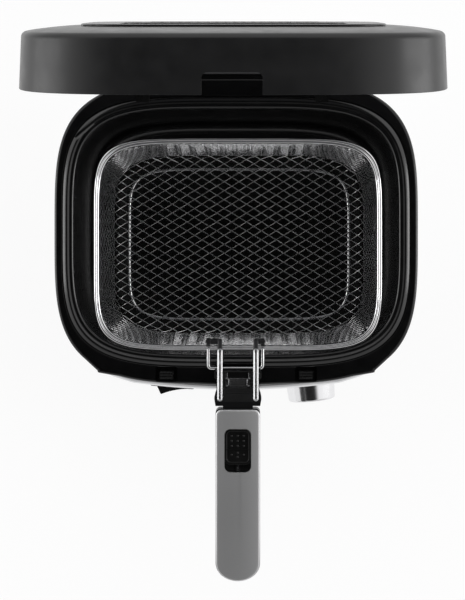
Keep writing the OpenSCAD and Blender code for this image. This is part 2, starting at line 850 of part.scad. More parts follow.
// Two flat arms with round tips, turned out at their inner ends to pivot in the bracket's eyes
module handle_arms() {
    color("#cfd0d2") basket_place() for (side = [-1, 1]) translate([side * arm_span / 2, 0, 0]) {
        pin_end = side * (bracket_half - arm_span / 2 + wire_r + 0.8) + bracket_shift;
        arm_incline() difference() {
            translate([0, 0, arm_z]) stadium(arm_w, pivot_y + arm_w / 2, arm_tip, arm_t);
            translate([0, 0, arm_z - 1])
                stadium(arm_w / 3, arm_tip + arm_w / 2, arm_tip + 1.5 * arm_w, arm_t + 2);
        }
        block(arm_w, pivot_y - arm_w / 2, pivot_y + arm_w / 2, pivot_z - arm_w / 2, arm_z + 0.5);
        translate([0, pivot_y, pivot_z]) rod_x(pivot_pin_r, min(0, pin_end), max(0, pin_end));
    }
}

// Black collar that clamps the arms in two grooves of its sloping top, waisted where the lid's wall
// comes down
module handle_collar() {
    color("#121213") basket_place() difference() {
        union() {
            block(collar_w, collar_y0, groove_y0, collar_z0, collar_top);
            block(groove_w, groove_y0 + 1, groove_y1 - 1, collar_z0, collar_top);
            block(collar_w, groove_y1, collar_end, collar_z0, collar_top);
            block(neck_w, collar_end + 1, neck_y, collar_z0 + 1, collar_top - 1);
        }
        arm_incline() {
            both_sides(arm_span / 2) translate([0, 0, arm_z - gap / 2])
                stadium(arm_w + gap, collar_y0 + 20, arm_tip - gap / 2, arm_t + gap);
            block(2 * collar_w, collar_y0 + 10, arm_tip, arm_z + arm_t - 0.2, rim_z + 40);
        }
        block(latch_w + 2 * gap, collar_y0 + 1, neck_y - 1, latch_z - gap, latch_z + latch_t + gap);
        block(latch_w + 2 * gap, collar_y0 + 1, groove_y0 - 3, latch_z - gap, rim_z + 30);
    }
}

// Lower moulding of the grip, with a pocket for the slide button and a shallow hollow for the fingers
module handle_grip() {
    slot_end = latch_end - button_travel - gap;
    relief_r = 65;
    relief_deep = 3;
    color("#151516") basket_place() difference() {
        grip_form(grip_w, 0, 0, grip_z0, grip_z1 - cover_t);
        block(button_w + 4, button_y + 1, button_y - button_len - 1, button_floor, grip_z1);
        block(latch_w + 2 * gap, neck_y + 1, slot_end, latch_z - gap, latch_z + latch_t + gap);
        block(latch_post_w + 2 * gap, latch_end + 3 + gap, slot_end, latch_z, grip_z1);
        translate([0, grip_tip + grip_len / 2, grip_z0 - relief_r + relief_deep])
            rod_x(relief_r, -grip_w, grip_w, $fn = 96);
    }
}

// Grip outline in plan, straight-sided with an elliptical tip, inset by i, its near end by back
module grip_form(w, i, back, z0, z1) {
    half = w / 2 - i;
    tip = grip_tip + i;
    bend = tip + grip_end_deep;
    translate([0, 0, z0]) linear_extrude(z1 - z0) polygon(concat(
        [[half, neck_y - back - 3], [half - 3, neck_y - back]],
        [[-half + 3, neck_y - back], [-half, neck_y - back - 3]],
        [for (a = [180:6:360]) [half * cos(a), bend + grip_end_deep * sin(a)]]
    ));
}

// Rounded plan of the button and of its opening, inset by i and of length l
module button_plan(i, l, z0, z1) {
    w = button_w - 2 * i;
    r = button_round - i;
    y0 = button_y - i;
    y1 = y0 - l;
    block(w, y0 - r, y1 + r, z0, z1);
    block(w - 2 * r, y0, y1, z0, z1);
    for (x = [r - w / 2, w / 2 - r], y = [y0 - r, y1 + r]) translate([x, y, z0])
        cylinder(r = r, h = z1 - z0);
}

// Silver cover on top of the grip, open over the button
module handle_cover() {
    color("#b4b5b7") basket_place() difference() {
        grip_form(grip_w, cover_edge, cover_back, grip_z1 - cover_t, grip_z1);
        button_plan(0, button_len, grip_z1 - cover_t - 1, grip_z1 + 1);
    }
}

// Slide button with rows of raised dots
module handle_button() {
    top = grip_z1 - 0.6;
    y0 = button_y - 0.5;
    color("#0f0f10") basket_place() {
        button_plan(gap, slider_len, button_floor + gap, top);
        for (i = [-1:1], j = [0:4]) translate([i * 4.6, y0 - 5 - j * 3.8 - (j > 2 ? 2.4 : 0), top])
            cylinder(r = 0.8, h = 0.5, $fn = 24);
        block(slider_w - 3, y0 - 17.2, y0 - 18.4, top, top + 0.8);
    }
}

// Flat latch that runs from the button to the bracket's bar and ends in two hooks
module latch_hooks() {
    tip = bar_y - wire_r - 1.2;
    color("#b9bbbe") basket_place() {
        block(latch_w, latch_end, groove_y0 - 2, latch_z, latch_z + latch_t);
        both_sides(latch_w / 2 - 1) block(2, groove_y0 - 3, tip - 0.4, latch_z, latch_z + latch_t);
        both_sides(latch_w / 2 - 1) block(2, tip - 2.2, tip - 0.4, latch_z, latch_z + 4);
        block(latch_post_w, latch_end, latch_end + 3, latch_z, button_floor + gap);
    }
}

// Return spring of the slide button, lying in the grip
module button_spring() {
    wire = 0.4;
    y0 = button_y - 0.5 - slider_len;
    color("#8f9194") basket_place()
        translate([0, y0 - 0.1, button_floor + 2.4]) rotate([90, 0, 0])
            translate([0, 0, wire]) coil(1.5, wire, 4, button_len - slider_len - 0.5 - 2 * wire - 0.3);
}

// Two screws that hold the grip's halves from below
module handle_screws() {
    color("#9c9ea1") basket_place() for (y = [neck_y - 8, grip_tip + 16])
        translate([0, y, grip_z0 - 0.6]) cylinder(r = 3, h = 0.6);
}

// ---------- lid ----------

// Opening cut in the front of the lid for the handle
module lid_notch(w, h) {
    block(w, -half_d - 10, -half_d + 20, rim_z - 5, rim_z + h);
}

// Outer moulding of the lid: drafted wall, rounded shoulder, low crown and hinge knuckles
module lid_shell() {
    top = lid_z0 + lid_h;
    function out(i, z) = ring(lid_a - i, lid_b - i, corner_n, z);
    function inside(i, z) = ring(lid_a - lid_t - i, lid_b - lid_t - i, corner_n, z);
    color("#2b2b2d") lid_place() difference() {
        union() {
            loft(concat(
                [for (f = [0.9, 0.55, 0.34, 0.19])
                    inside(f * lid_b - lid_t, top + crown_rise(f * lid_b) - lid_t)],
                [
                    inside(lid_draft + 5, top + 1 - lid_t),
                    inside(lid_draft + 1, top - 1 - lid_t),
                    inside(lid_draft, top - 4 - lid_t),
                    inside(0, lid_z0),
                    out(0, lid_z0),
                    out(lid_draft, top - 2.5),
                    out(lid_draft + 0.9, top - 0.8),
                    out(lid_draft + 3, top + 0.5),
                    out(lid_draft + 7, top + 1.3)
                ],
                [for (f = [0.19, 0.34, 0.55, 0.9]) out(f * lid_b, top + crown_rise(f * lid_b))]
            ));
            hinge_stations() lid_knuckle();
            corners(screw_x, screw_y) translate([0, 0, liner_top + gap]) cylinder(r = boss_r, h = 5.4);
        }
        prism(hole_a, hole_b, hole_n, liner_top, top + 20);
        lid_notch(notch_w, notch_h);
        hinge_stations() rod_x(pin_r + run, -hinge_w, hinge_w);
        corners(screw_x, screw_y) translate([0, 0, liner_top - 1]) cylinder(r = 1.5 + run, h = 6);
    }
}

// Knuckle on the back of the lid, about a hinge station, cut off at the wall's inner face
module lid_knuckle() {
    translate([-hinge_w / 2 + ear_t + gap, 0, 0]) {
        rod_x(knuckle_r - 0.2, 0, knuckle_w);
        difference() {
            translate([0, -14, 0.5]) cube([knuckle_w, 14 + knuckle_r - 0.2, 7]);
            translate([hinge_w / 2 - ear_t - gap - hinge_x, -hinge_y, -hinge_z])
                prism(lid_a - lid_t, lid_b - lid_t, corner_n, lid_z0 - 1, lid_z0 + 20);
        }
    }
}

// Inner skin of the lid, open at the window and the filter
module lid_liner() {
    color("#3a3b3d") lid_place() difference() {
        prism(liner_a, liner_b, corner_n, gasket_z + gasket_h, liner_top);
        prism(liner_a - liner_t, liner_b - liner_t, corner_n, 0, liner_top - liner_t);
        translate([0, window_y, 0])
            block(window_w - 6, 3 - window_d / 2, window_d / 2 - 3, liner_top - 5, liner_top + 1);
        translate([0, filter_y, 0])
            block(filter_w - 8, 4 - filter_d / 2, filter_d / 2 - 4, liner_top - 5, liner_top + 1);
        lid_notch(notch_w + 8, notch_h + 3);
        corners(screw_x, screw_y) translate([0, 0, liner_top - 3]) cylinder(r = 1.5 + run, h = 6);
    }
}

// Soft seal under the edge of the liner
module lid_gasket() {
    color("#55565a") lid_place() difference() {
        tube(liner_a, liner_b, corner_n, gasket_w, gasket_z, gasket_z + gasket_h);
        lid_notch(notch_w + 8, notch_h + 3);
    }
}

// Flat glass of the window
module window_glass() {
    color("#39424a", 0.5) lid_place() translate([0, window_y, 0])
        block(window_w + 8, -window_d / 2 - 3, window_d / 2 + 3, frame_z - glass_t, frame_z);
}

// Frame on the crown round the window and the filter
module window_frame() {
    color("#1e1e20") lid_place() difference() {
        union() {
            prism(frame_w / 2, frame_d / 2, hole_n, frame_z, frame_z + frame_t);
            tube(hole_a - gap, hole_b - gap, hole_n, 2, frame_z - 5, frame_z + 0.5);
        }
        translate([0, window_y, 0]) block(window_w, -window_d / 2, window_d / 2, frame_z - 1, frame_z + 9);
        translate([0, filter_y, 0]) block(filter_w, -filter_d / 2, filter_d / 2, frame_z - 9, frame_z + 9);
    }
}

// Slotted cover over the filter
module filter_cover() {
    color("#202022") lid_place() translate([0, filter_y, 0]) difference() {
        block(filter_w - 2 * gap, gap - filter_d / 2, filter_d / 2 - gap,
              frame_z - 0.8, frame_z + frame_t - 0.2);
        for (i = [-filter_slots:filter_slots]) translate([i * slot_step, 0, 0])
            block(2.6, 4 - filter_d / 2, filter_d / 2 - 4, frame_z - 5, frame_z + 9);
    }
}

// Grease filter that drops in from above and rests on the liner
module filter_cartridge() {
    color("#6b6c6e") lid_place() translate([0, filter_y, 0]) difference() {
        block(filter_w - 2, -filter_d / 2 + 1, filter_d / 2 - 1, liner_top, frame_z - 0.8);
        for (i = [-filter_slots:filter_slots]) translate([i * slot_step, 0, 0])
            block(4, -filter_d / 2 + 3, filter_d / 2 - 3, liner_top - 1, frame_z - 3);
    }
}

// Two steel tongues that enter the catch pockets when the lid is shut
module lid_hooks() {
    y0 = catch_y0 + 0.6;
    z0 = gasket_z + gasket_h + 1.4;
    wall_y = gap - outline_y(liner_a - liner_t, liner_b - liner_t, corner_n, catch_x + hook_w / 2);
    color("#1b1b1c") lid_place() both_sides(catch_x) {
        block(hook_w, y0, y0 + hook_t, rim_z - 4.5, z0 + 1.6);
        block(hook_w, y0 + hook_t, wall_y, z0, z0 + 1.6);
        block(hook_w, wall_y, wall_y + hook_t, z0, z0 + hook_w);
    }
}

// Four screws up through the liner into the shell's bosses
module lid_screws() {
    color("#9c9ea1") lid_place() corners(screw_x, screw_y) {
        translate([0, 0, liner_top - liner_t - 1.6]) cylinder(r = 3, h = 1.6);
        translate([0, 0, liner_top - liner_t - 0.2]) cylinder(r = 1.5, h = 5);
    }
}

base_tray();
feet();
outer_casing();
top_deck();
heat_shield();
heater_plate();
heating_element();
heater_posts();
thermal_cutoff();
tie_bolts();
hinge_pins();
lid_springs();
front_panel();
thermostat();
thermostat_shaft();
temperature_knob();
switch_housing();
switch_rocker();
ready_lamp();
power_inlet();
inlet_pins();
catch_left();
catch_right();
pot();
basket_mesh();
basket_rim();
basket_base_ring();
basket_bracket();
handle_arms();
handle_collar();
handle_grip();
handle_cover();
handle_button();
latch_hooks();
button_spring();
handle_screws();
lid_shell();
lid_liner();
lid_gasket();
window_glass();
window_frame();
filter_cover();
filter_cartridge();
lid_hooks();
lid_screws();
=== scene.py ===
# %% [markdown]
# # Dressing a deep fryer
# An electric deep fryer stands with its lid open. A wire basket with a folding handle hangs in
# its coated pot, a switch and a knob sit on a silver panel at the front. Its working model is
# already built to size, so this lesson only gives it its looks: finer surfaces where the working
# solids are plain, and a finish for everything. The model is loaded first, as a frame that never
# moves, and its box is kept so that the dressed fryer can be compared with it at the end.

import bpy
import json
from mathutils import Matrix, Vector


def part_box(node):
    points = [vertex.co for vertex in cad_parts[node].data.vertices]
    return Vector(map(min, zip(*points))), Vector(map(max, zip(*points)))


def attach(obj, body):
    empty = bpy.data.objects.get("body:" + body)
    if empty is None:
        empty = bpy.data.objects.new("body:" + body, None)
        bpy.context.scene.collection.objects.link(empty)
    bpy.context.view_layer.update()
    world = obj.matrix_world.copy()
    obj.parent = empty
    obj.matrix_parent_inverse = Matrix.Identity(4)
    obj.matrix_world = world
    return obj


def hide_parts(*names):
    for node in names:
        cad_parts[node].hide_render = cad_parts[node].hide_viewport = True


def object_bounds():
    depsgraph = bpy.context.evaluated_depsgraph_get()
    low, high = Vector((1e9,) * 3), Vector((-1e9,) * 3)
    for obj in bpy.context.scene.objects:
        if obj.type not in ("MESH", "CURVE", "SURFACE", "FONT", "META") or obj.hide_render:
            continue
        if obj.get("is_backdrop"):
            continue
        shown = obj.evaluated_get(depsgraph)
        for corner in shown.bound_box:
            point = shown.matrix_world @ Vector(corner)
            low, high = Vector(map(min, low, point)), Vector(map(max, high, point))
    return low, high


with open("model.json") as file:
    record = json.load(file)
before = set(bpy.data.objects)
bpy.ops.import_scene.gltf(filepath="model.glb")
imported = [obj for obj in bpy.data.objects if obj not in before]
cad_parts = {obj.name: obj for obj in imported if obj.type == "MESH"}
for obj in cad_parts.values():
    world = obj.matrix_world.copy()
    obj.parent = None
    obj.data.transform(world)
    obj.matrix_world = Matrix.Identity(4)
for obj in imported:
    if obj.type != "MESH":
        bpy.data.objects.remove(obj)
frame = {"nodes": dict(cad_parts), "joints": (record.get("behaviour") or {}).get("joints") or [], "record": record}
frame_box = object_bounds()

# %% Tools for the rest of the lesson
import json
import math

import bmesh
import bpy
import numpy as np
from mathutils import Matrix, Vector

# %% [markdown]
# ## Sizes
# Every new surface has to sit on the working model, so the sizes are measured from it and not
# typed in. The fryer is easiest to draw in millimetres about the middle of its body, with X to
# the right, Y to the back and Z up. One matrix for each place then carries the drawing to where
# the real piece is, and makes metres of it. The lid is drawn shut, flat and square to the axes,
# and its matrix swings it open about the hinge line. The rim's front bulges, so its box doesn't
# give the depth of the body: that comes from the casing, which is inset alike on all sides.

# %% Measure the frame
def measured(node):
    """Lowest and highest corner of a node, in millimetres."""
    low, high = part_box(node)
    return low * 1000, high * 1000


def joint_spot(name):
    """Position of a joint, in millimetres."""
    return Vector(joints[name]["pos_m"]) * 1000


joints = {joint["name"]: joint for joint in frame["joints"]}
casing_low, casing_high = measured("outer_casing")
deck_high = measured("top_deck")[1]
pot_low, pot_high = measured("pot")
band_low, band_high = measured("basket_rim")
mesh_low, mesh_high = measured("basket_mesh")
collar_low, collar_high = measured("handle_collar")
cover_low, cover_high = measured("handle_cover")

middle_y = (casing_low.y + casing_high.y) / 2
half_w = deck_high.x
half_d = (casing_high.y - casing_low.y) / 2 + half_w - casing_high.x
hinge = joint_spot("lid_hinge")
pivot = joint_spot("handle_fold")
rim_z = hinge.z
hinge_y = hinge.y - middle_y
lid_open = -joints["lid_hinge"]["range_deg"][0]
basket_x = (band_low.x + band_high.x) / 2
basket_y = (band_low.y + band_high.y) / 2 - middle_y
print(f"body {2 * half_w:.1f} x {2 * half_d:.1f} mm, rim at {rim_z:.1f} mm")
print(f"lid open {lid_open:.1f} degrees")

# %% Places
def shift(x, y, z):
    """Matrix that moves by x, y and z."""
    return Matrix.Translation((x, y, z))


def spin(degrees, axis):
    """Matrix that turns about an axis through the origin."""
    return Matrix.Rotation(math.radians(degrees), 4, axis)


def panel_spot(joint):
    """Place of a control on the front panel, where -Y points straight out of the panel."""
    spot = joint_spot(joint)
    radius = math.hypot(spot.x, panel_axis_y - spot.y)
    turn = math.degrees(math.asin(spot.x / radius))
    return METRES @ shift(*spot) @ spin(turn, "Z")


METRES = Matrix.Scale(0.001, 4)
panel_radius = 600.0
knob_x, knob_y, _ = joint_spot("knob_turn")
panel_axis_y = knob_y + math.sqrt(panel_radius ** 2 - knob_x ** 2)
BODY = METRES @ shift(0, middle_y, 0)
BASKET = METRES @ shift(basket_x, middle_y, 0)
LID = BODY @ shift(0, hinge_y, rim_z) @ spin(-lid_open, "X") @ shift(0, -hinge_y, -rim_z)
KNOB = panel_spot("knob_turn")
ROCKER = panel_spot("rocker_tilt")

# %% [markdown]
# ## The view
# The fryer is shown from straight above, so the camera needs no turning: an unturned camera in
# Blender looks down with +Y at the top. It hangs 1.2 m above the worktop with a long lens, which
# keeps the perspective mild. Its axis doesn't pass through the middle of the picture, and a small
# lens shift puts that right without tilting the camera.

# %% Camera
picture_w, picture_h = 465, 600
focal_px = 1306.0
axis_px = (250.0, 243.0)
camera_spot = (10.7, -8.9, 1199.0)

lens = bpy.data.cameras.new("overhead_lens")
lens.sensor_width = 36.0
lens.lens = lens.sensor_width * focal_px / picture_h
lens.shift_x = (picture_w / 2 - axis_px[0]) / picture_h
lens.shift_y = (axis_px[1] - picture_h / 2) / picture_h
camera = bpy.data.objects.new("overhead_camera", lens)
camera.location = BODY @ Vector(camera_spot)
bpy.context.scene.collection.objects.link(camera)
bpy.context.scene.camera = camera
print(f"lens {lens.lens:.1f} mm, {camera.location.z:.3f} m above the worktop")

# %% [markdown]
# ## Drawing with rings
# Nearly everything on this fryer is a moulding or a pressing with a soft rectangular outline.
# Such a form can be subdivided from a box, but its corners then depend on where the loops lie.
# Skinning a list of rings is easier to control: each ring is the outline drawn in by some
# distance, at some height, so the list of distances and heights is simply the section of the
# moulding. A shape here is a pair: its points in millimetres and its faces.

# %% Outlines
SEGMENTS = 240


def outline(a, b, n, count=SEGMENTS):
    """Soft-cornered outline with half sizes a and b. With n = 2 it is an ellipse."""
    turn = np.linspace(0, 2 * math.pi, count, endpoint=False)
    reach = (np.abs(np.cos(turn) / a) ** n + np.abs(np.sin(turn) / b) ** n) ** (-1 / n)
    return np.column_stack([reach * np.cos(turn), reach * np.sin(turn)])


def at(plan, z):
    """A plan outline lifted to height z."""
    return np.column_stack([plan, np.full(len(plan), float(z))])


def ring(a, b, n, z, y=0.0, count=SEGMENTS):
    """Soft-cornered outline at height z, about the point y on the middle line."""
    return at(outline(a, b, n, count) + (0, y), z)


def stack(a, b, n, section, y=0.0, count=SEGMENTS):
    """Rings of a section, given as pairs: how far the outline is drawn in, and its height."""
    return [ring(a - i, b - i, n, z, y, count) for i, z in section]


def arc(x, y, radius, start, end, steps=8):
    """Points of an arc about (x, y), from one angle to another in degrees."""
    turn = np.radians(np.linspace(start, end, steps))
    return np.column_stack([x + radius * np.cos(turn), y + radius * np.sin(turn)])


def rounded(x0, x1, y0, y1, radius, steps=8):
    """Rectangle with round corners."""
    return np.concatenate([
        arc(x1 - radius, y1 - radius, radius, 0, 90, steps),
        arc(x0 + radius, y1 - radius, radius, 90, 180, steps),
        arc(x0 + radius, y0 + radius, radius, 180, 270, steps),
        arc(x1 - radius, y0 + radius, radius, 270, 360, steps),
    ])


def centred(w, h, radius, y=0.0):
    """Rectangle with round corners, w by h, about the point y on the middle line."""
    return rounded(-w / 2, w / 2, y - h / 2, y + h / 2, radius)


# %% Solids from outlines
def loft(rings, closed=False):
    """Skin over rings of equal length. A closed loft comes back to its first ring."""
    count, total = len(rings[0]), len(rings)
    faces = []
    for k in range(total if closed else total - 1):
        low, high = k * count, (k + 1) % total * count
        faces += [
            (low + i, low + (i + 1) % count, high + (i + 1) % count, high + i)
            for i in range(count)
        ]
    if not closed:
        faces += [tuple(range(count)), tuple(range((total - 1) * count, total * count))]
    return np.concatenate(rings), faces


def slab(plan, z0, z1):
    """Upright slab of a plan outline."""
    return loft([at(plan, z0), at(plan, z1)])


def block(x0, x1, y0, y1, z0, z1):
    """Square-edged block."""
    return slab(np.array([(x0, y0), (x1, y0), (x1, y1), (x0, y1)]), z0, z1)


def turned(section, count=64):
    """Solid turned about Z from a section of (radius, height) pairs."""
    return loft([ring(radius, radius, 2, z, count=count) for radius, z in section])


def rod(radius, z0, z1, count=64):
    """Round rod about Z."""
    return turned([(radius, z0), (radius, z1)], count)


def hoop(inner, outer, z0, z1):
    """Flat ring about Z."""
    edges = [(inner, z0), (outer, z0), (outer, z1), (inner, z1)]
    return loft([ring(radius, radius, 2, z, count=48) for radius, z in edges], closed=True)


def wire(path, radius, sides=8, closed=False):
    """Round wire along a path. Its rings are carried along without twisting."""
    path = np.asarray(path, float)
    ahead, behind = np.roll(path, -1, axis=0), np.roll(path, 1, axis=0)
    if not closed:
        ahead[-1], behind[0] = path[-1], path[0]
    along = ahead - behind
    along /= np.linalg.norm(along, axis=1)[:, None]
    turn = np.linspace(0, 2 * math.pi, sides, endpoint=False)[:, None]
    across = np.array([0.0, 0.0, 1.0]) if abs(along[0][2]) < 0.9 else np.array([1.0, 0.0, 0.0])
    rings = []
    for point, direction in zip(path, along):
        across = across - direction * (across @ direction)
        across /= np.linalg.norm(across)
        other = np.cross(direction, across)
        rings.append(point + radius * (np.cos(turn) * across + np.sin(turn) * other))
    return loft(rings, closed)


def moved(shape, matrix):
    """A shape carried by a matrix."""
    points, faces = shape
    grid = np.array(matrix)
    return points @ grid[:3, :3].T + grid[:3, 3], faces


def joined(shapes):
    """Several shapes as one."""
    points, faces, start = [], [], 0
    for some_points, some_faces in shapes:
        points.append(some_points)
        faces += [tuple(start + i for i in face) for face in some_faces]
        start += len(some_points)
    return np.concatenate(points), faces


ALONG_X = Matrix(((0, 0, 1, 0), (1, 0, 0, 0), (0, 1, 0, 0), (0, 0, 0, 1)))
ALONG_Y = Matrix(((1, 0, 0, 0), (0, 0, -1, 0), (0, 1, 0, 0), (0, 0, 0, 1)))


def sideways(shape):
    """A shape laid over so that its height points to the right."""
    return moved(shape, ALONG_X)


def frontward(shape):
    """A shape laid over so that its height points to the front."""
    return moved(shape, ALONG_Y)


def mirrored(shape):
    """The other hand of a shape."""
    return moved(shape, Matrix.Scale(-1, 4, (1, 0, 0)))


print("a slab laid sideways has its plan in YZ, one laid frontward in XZ")

# %% [markdown]
# ## From shape to piece
# A piece is a mesh with a name, a body to ride on and a material slot. Openings are cut with
# Boolean modifiers and edges are broken with a Bevel modifier, because no moulded or pressed
# edge is truly sharp: the narrow bevel is what catches the light. The modifiers are applied at
# once, so what is kept is a plain mesh, and weighted normals keep the flat faces flat.

# %% Making a piece
def mesh_object(name, shape, place):
    """Object with the mesh of a shape, carried to its place."""
    points, faces = moved(shape, place)
    mesh = bpy.data.meshes.new(name)
    mesh.from_pydata(points.tolist(), [], faces)
    work = bmesh.new()
    work.from_mesh(mesh)
    bmesh.ops.recalc_face_normals(work, faces=work.faces)
    work.to_mesh(mesh)
    work.free()
    made = bpy.data.objects.new(name, mesh)
    bpy.context.scene.collection.objects.link(made)
    return made


def apply_modifiers(made):
    """Turns what the modifiers show into the object's own mesh."""
    shown = made.evaluated_get(bpy.context.evaluated_depsgraph_get())
    before, made.data = made.data, bpy.data.meshes.new_from_object(shown)
    made.modifiers.clear()
    bpy.data.meshes.remove(before)


def combine(made, shapes, place, operation):
    """Adds shapes to a piece, or cuts them from it, one Boolean after another."""
    tools = []
    for shape in shapes:
        tools.append(mesh_object("tool", shape, place))
        step = made.modifiers.new("combine", "BOOLEAN")
        step.operation = operation
        step.solver = "EXACT"
        step.object = tools[-1]
    if tools:
        apply_modifiers(made)
    for tool in tools:
        mesh = tool.data
        bpy.data.objects.remove(tool)
        bpy.data.meshes.remove(mesh)


def piece(name, shape, place, body, slot, stands_for=(), adds=(), cuts=(), soften=0.0, crease=32):
    """One piece of the fryer. soften is the width of its edges' bevel in millimetres."""
    made = mesh_object(name, shape, place)
    combine(made, adds, place, "UNION")
    combine(made, cuts, place, "DIFFERENCE")
    if soften:
        bevel = made.modifiers.new("soften", "BEVEL")
        bevel.width = soften / 1000
        bevel.segments = 3
        bevel.angle_limit = math.radians(crease)
        bevel.use_clamp_overlap = True
        apply_modifiers(made)
    made.data.shade_smooth()
    made.data.set_sharp_from_angle(angle=math.radians(crease + 4))
    weighting = made.modifiers.new("weighting", "WEIGHTED_NORMAL")
    weighting.keep_sharp = True
    apply_modifiers(made)
    made.data.name = name
    made.data.materials.clear()
    made.data.materials.append(finishes[slot])
    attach(made, body)
    if stands_for:
        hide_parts(*stands_for)
    print(f"{name}: {len(made.data.vertices)} points, rides on {body}")

# %% [markdown]
# ## Finishes
# A finish could be one colour and one roughness, but no real surface is that even: a moulding has
# a fine spark-eroded grain, brushed steel has streaks, plating has wiped smudges. So each finish
# is a small node tree. Noise in the object's own coordinates drives three things: a slight change
# of colour, a change of roughness, and a bump of some hundredths of a millimetre. What doesn't
# vary is set on the shader's own sockets. The coordinates are in metres, so a scale of 1000 gives
# features of about a millimetre.

# %% Node tools
finishes = {}


def add_node(tree, kind, operation=None, **inputs):
    """A node with values or links for its inputs, which are named, or counted as i0, i1, i2."""
    made = tree.nodes.new("ShaderNode" + kind)
    if operation:
        made.operation = operation
    for name, value in inputs.items():
        socket = made.inputs[int(name[1:]) if name[1:].isdigit() else name.replace("_", " ")]
        if isinstance(value, bpy.types.NodeSocket):
            tree.links.new(value, socket)
        else:
            socket.default_value = value
    return made


class Finish:
    """A node material in the making, around one Principled shader."""

    def __init__(self, slot, **sockets):
        self.material = finishes[slot] = bpy.data.materials.new(slot + "_finish")
        self.material.use_nodes = True
        self.tree = self.material.node_tree
        self.shader = self.tree.nodes["Principled BSDF"]
        self.place = self.tree.nodes.new("ShaderNodeTexCoord").outputs["Object"]
        for name, value in sockets.items():
            self.shader.inputs[name.replace("_", " ")].default_value = value

    def node(self, kind, operation=None, **inputs):
        """A node of this finish."""
        return add_node(self.tree, kind, operation, **inputs)

    def noise(self, scale, stretch=(1, 1, 1), detail=3.0, place=None):
        """Noise in the object's coordinates, stretched along the axes if asked."""
        spot = self.node("Mapping", Vector=place or self.place, Scale=stretch)
        made = self.node("TexNoise", Vector=spot.outputs["Vector"], Scale=scale, Detail=detail)
        return made.outputs["Fac"]

    def between(self, factor, low, high):
        """Maps the middle of a noise to a range."""
        made = self.node("MapRange", Value=factor, From_Min=0.3, From_Max=0.7, To_Min=low,
                         To_Max=high)
        return made.outputs["Result"]

    def colour(self, factor, dark, light):
        """Colour between two colours."""
        made = self.tree.nodes.new("ShaderNodeMix")
        made.data_type = "RGBA"
        for socket in made.inputs:
            if socket.identifier == "A_Color":
                socket.default_value = (*dark, 1)
            if socket.identifier == "B_Color":
                socket.default_value = (*light, 1)
        self.tree.links.new(self.between(factor, 0, 1), made.inputs[0])
        output = next(socket for socket in made.outputs if socket.identifier == "Result_Color")
        self.tree.links.new(output, self.shader.inputs["Base Color"])

    def roughness(self, factor, low, high):
        """Roughness between two values."""
        self.tree.links.new(self.between(factor, low, high), self.shader.inputs["Roughness"])

    def bump(self, height, depth_mm, strength=1.0):
        """Relief of a given depth."""
        made = self.node("Bump", Height=height, Strength=strength, Distance=depth_mm / 1000)
        self.tree.links.new(made.outputs["Normal"], self.shader.inputs["Normal"])


def shade(colour, factor):
    """A colour made lighter or darker."""
    return tuple(channel * factor for channel in colour)


# %% [markdown]
# ### Families of finishes
# The fryer has thirty finishes but only a few kinds of surface, so each kind is a function and
# each finish is a call. Mouldings differ in colour, gloss and grain. Drawn, brushed and spun
# metal differ in colour and in the direction of their streaks. Plating is a smooth metal whose
# gloss is uneven from handling, and silver lacquer is even all over.

# %% Moulded plastic and rubber
def moulding(slot, colour, roughness, grain_mm=0.5, relief_mm=0.012, **sockets):
    """Moulded plastic or rubber with a fine grain and soft clouds of colour."""
    finish = Finish(slot, **sockets)
    clouds = finish.noise(28)
    grain = finish.noise(1000 / grain_mm, detail=1.0)
    finish.colour(clouds, shade(colour, 0.85), shade(colour, 1.15))
    finish.roughness(finish.noise(90), roughness - 0.035, roughness + 0.035)
    finish.bump(grain, relief_mm, 0.6)


# %% Brushed, plated and cast metal
def brushed(slot, colour, roughness, streak=(1, 1, 60), relief_mm=0.006):
    """Metal with fine streaks. A large stretch along an axis packs them closely along it."""
    finish = Finish(slot, Metallic=1.0)
    streaks = finish.noise(40, stretch=streak, detail=5.0)
    finish.colour(streaks, shade(colour, 0.9), shade(colour, 1.08))
    finish.roughness(streaks, roughness - 0.05, roughness + 0.06)
    finish.bump(streaks, relief_mm, 0.5)


def plated(slot, colour, roughness):
    """Bright plating, a little uneven in gloss."""
    finish = Finish(slot, Metallic=1.0)
    smudges = finish.noise(120, detail=4.0)
    finish.colour(smudges, shade(colour, 0.94), shade(colour, 1.04))
    finish.roughness(smudges, max(roughness - 0.03, 0.02), roughness + 0.05)
    finish.bump(finish.noise(700), 0.004, 0.4)


def satin(slot, colour, roughness):
    """Silver lacquer: even, with a grain too fine to see as streaks."""
    finish = Finish(slot, Metallic=1.0)
    grain = finish.noise(1800, detail=1.0)
    finish.colour(grain, shade(colour, 0.98), shade(colour, 1.02))
    finish.roughness(finish.noise(12), roughness - 0.01, roughness + 0.01)
    finish.bump(grain, 0.002, 0.3)


def cast(slot, colour, roughness):
    """Metal as cast or as fired, with a coarser skin."""
    finish = Finish(slot, Metallic=1.0)
    skin = finish.noise(350, detail=6.0)
    finish.colour(finish.noise(60), shade(colour, 0.8), shade(colour, 1.15))
    finish.roughness(skin, roughness - 0.08, roughness + 0.08)
    finish.bump(skin, 0.06, 0.6)


# %% [markdown]
# ### Spun metal
# The knob is turned on a lathe, so its streaks run round its axis and across its face in
# circles. Distance from the axis and distance along it are enough to make them: noise that
# depends on those two alone is the same all the way round.

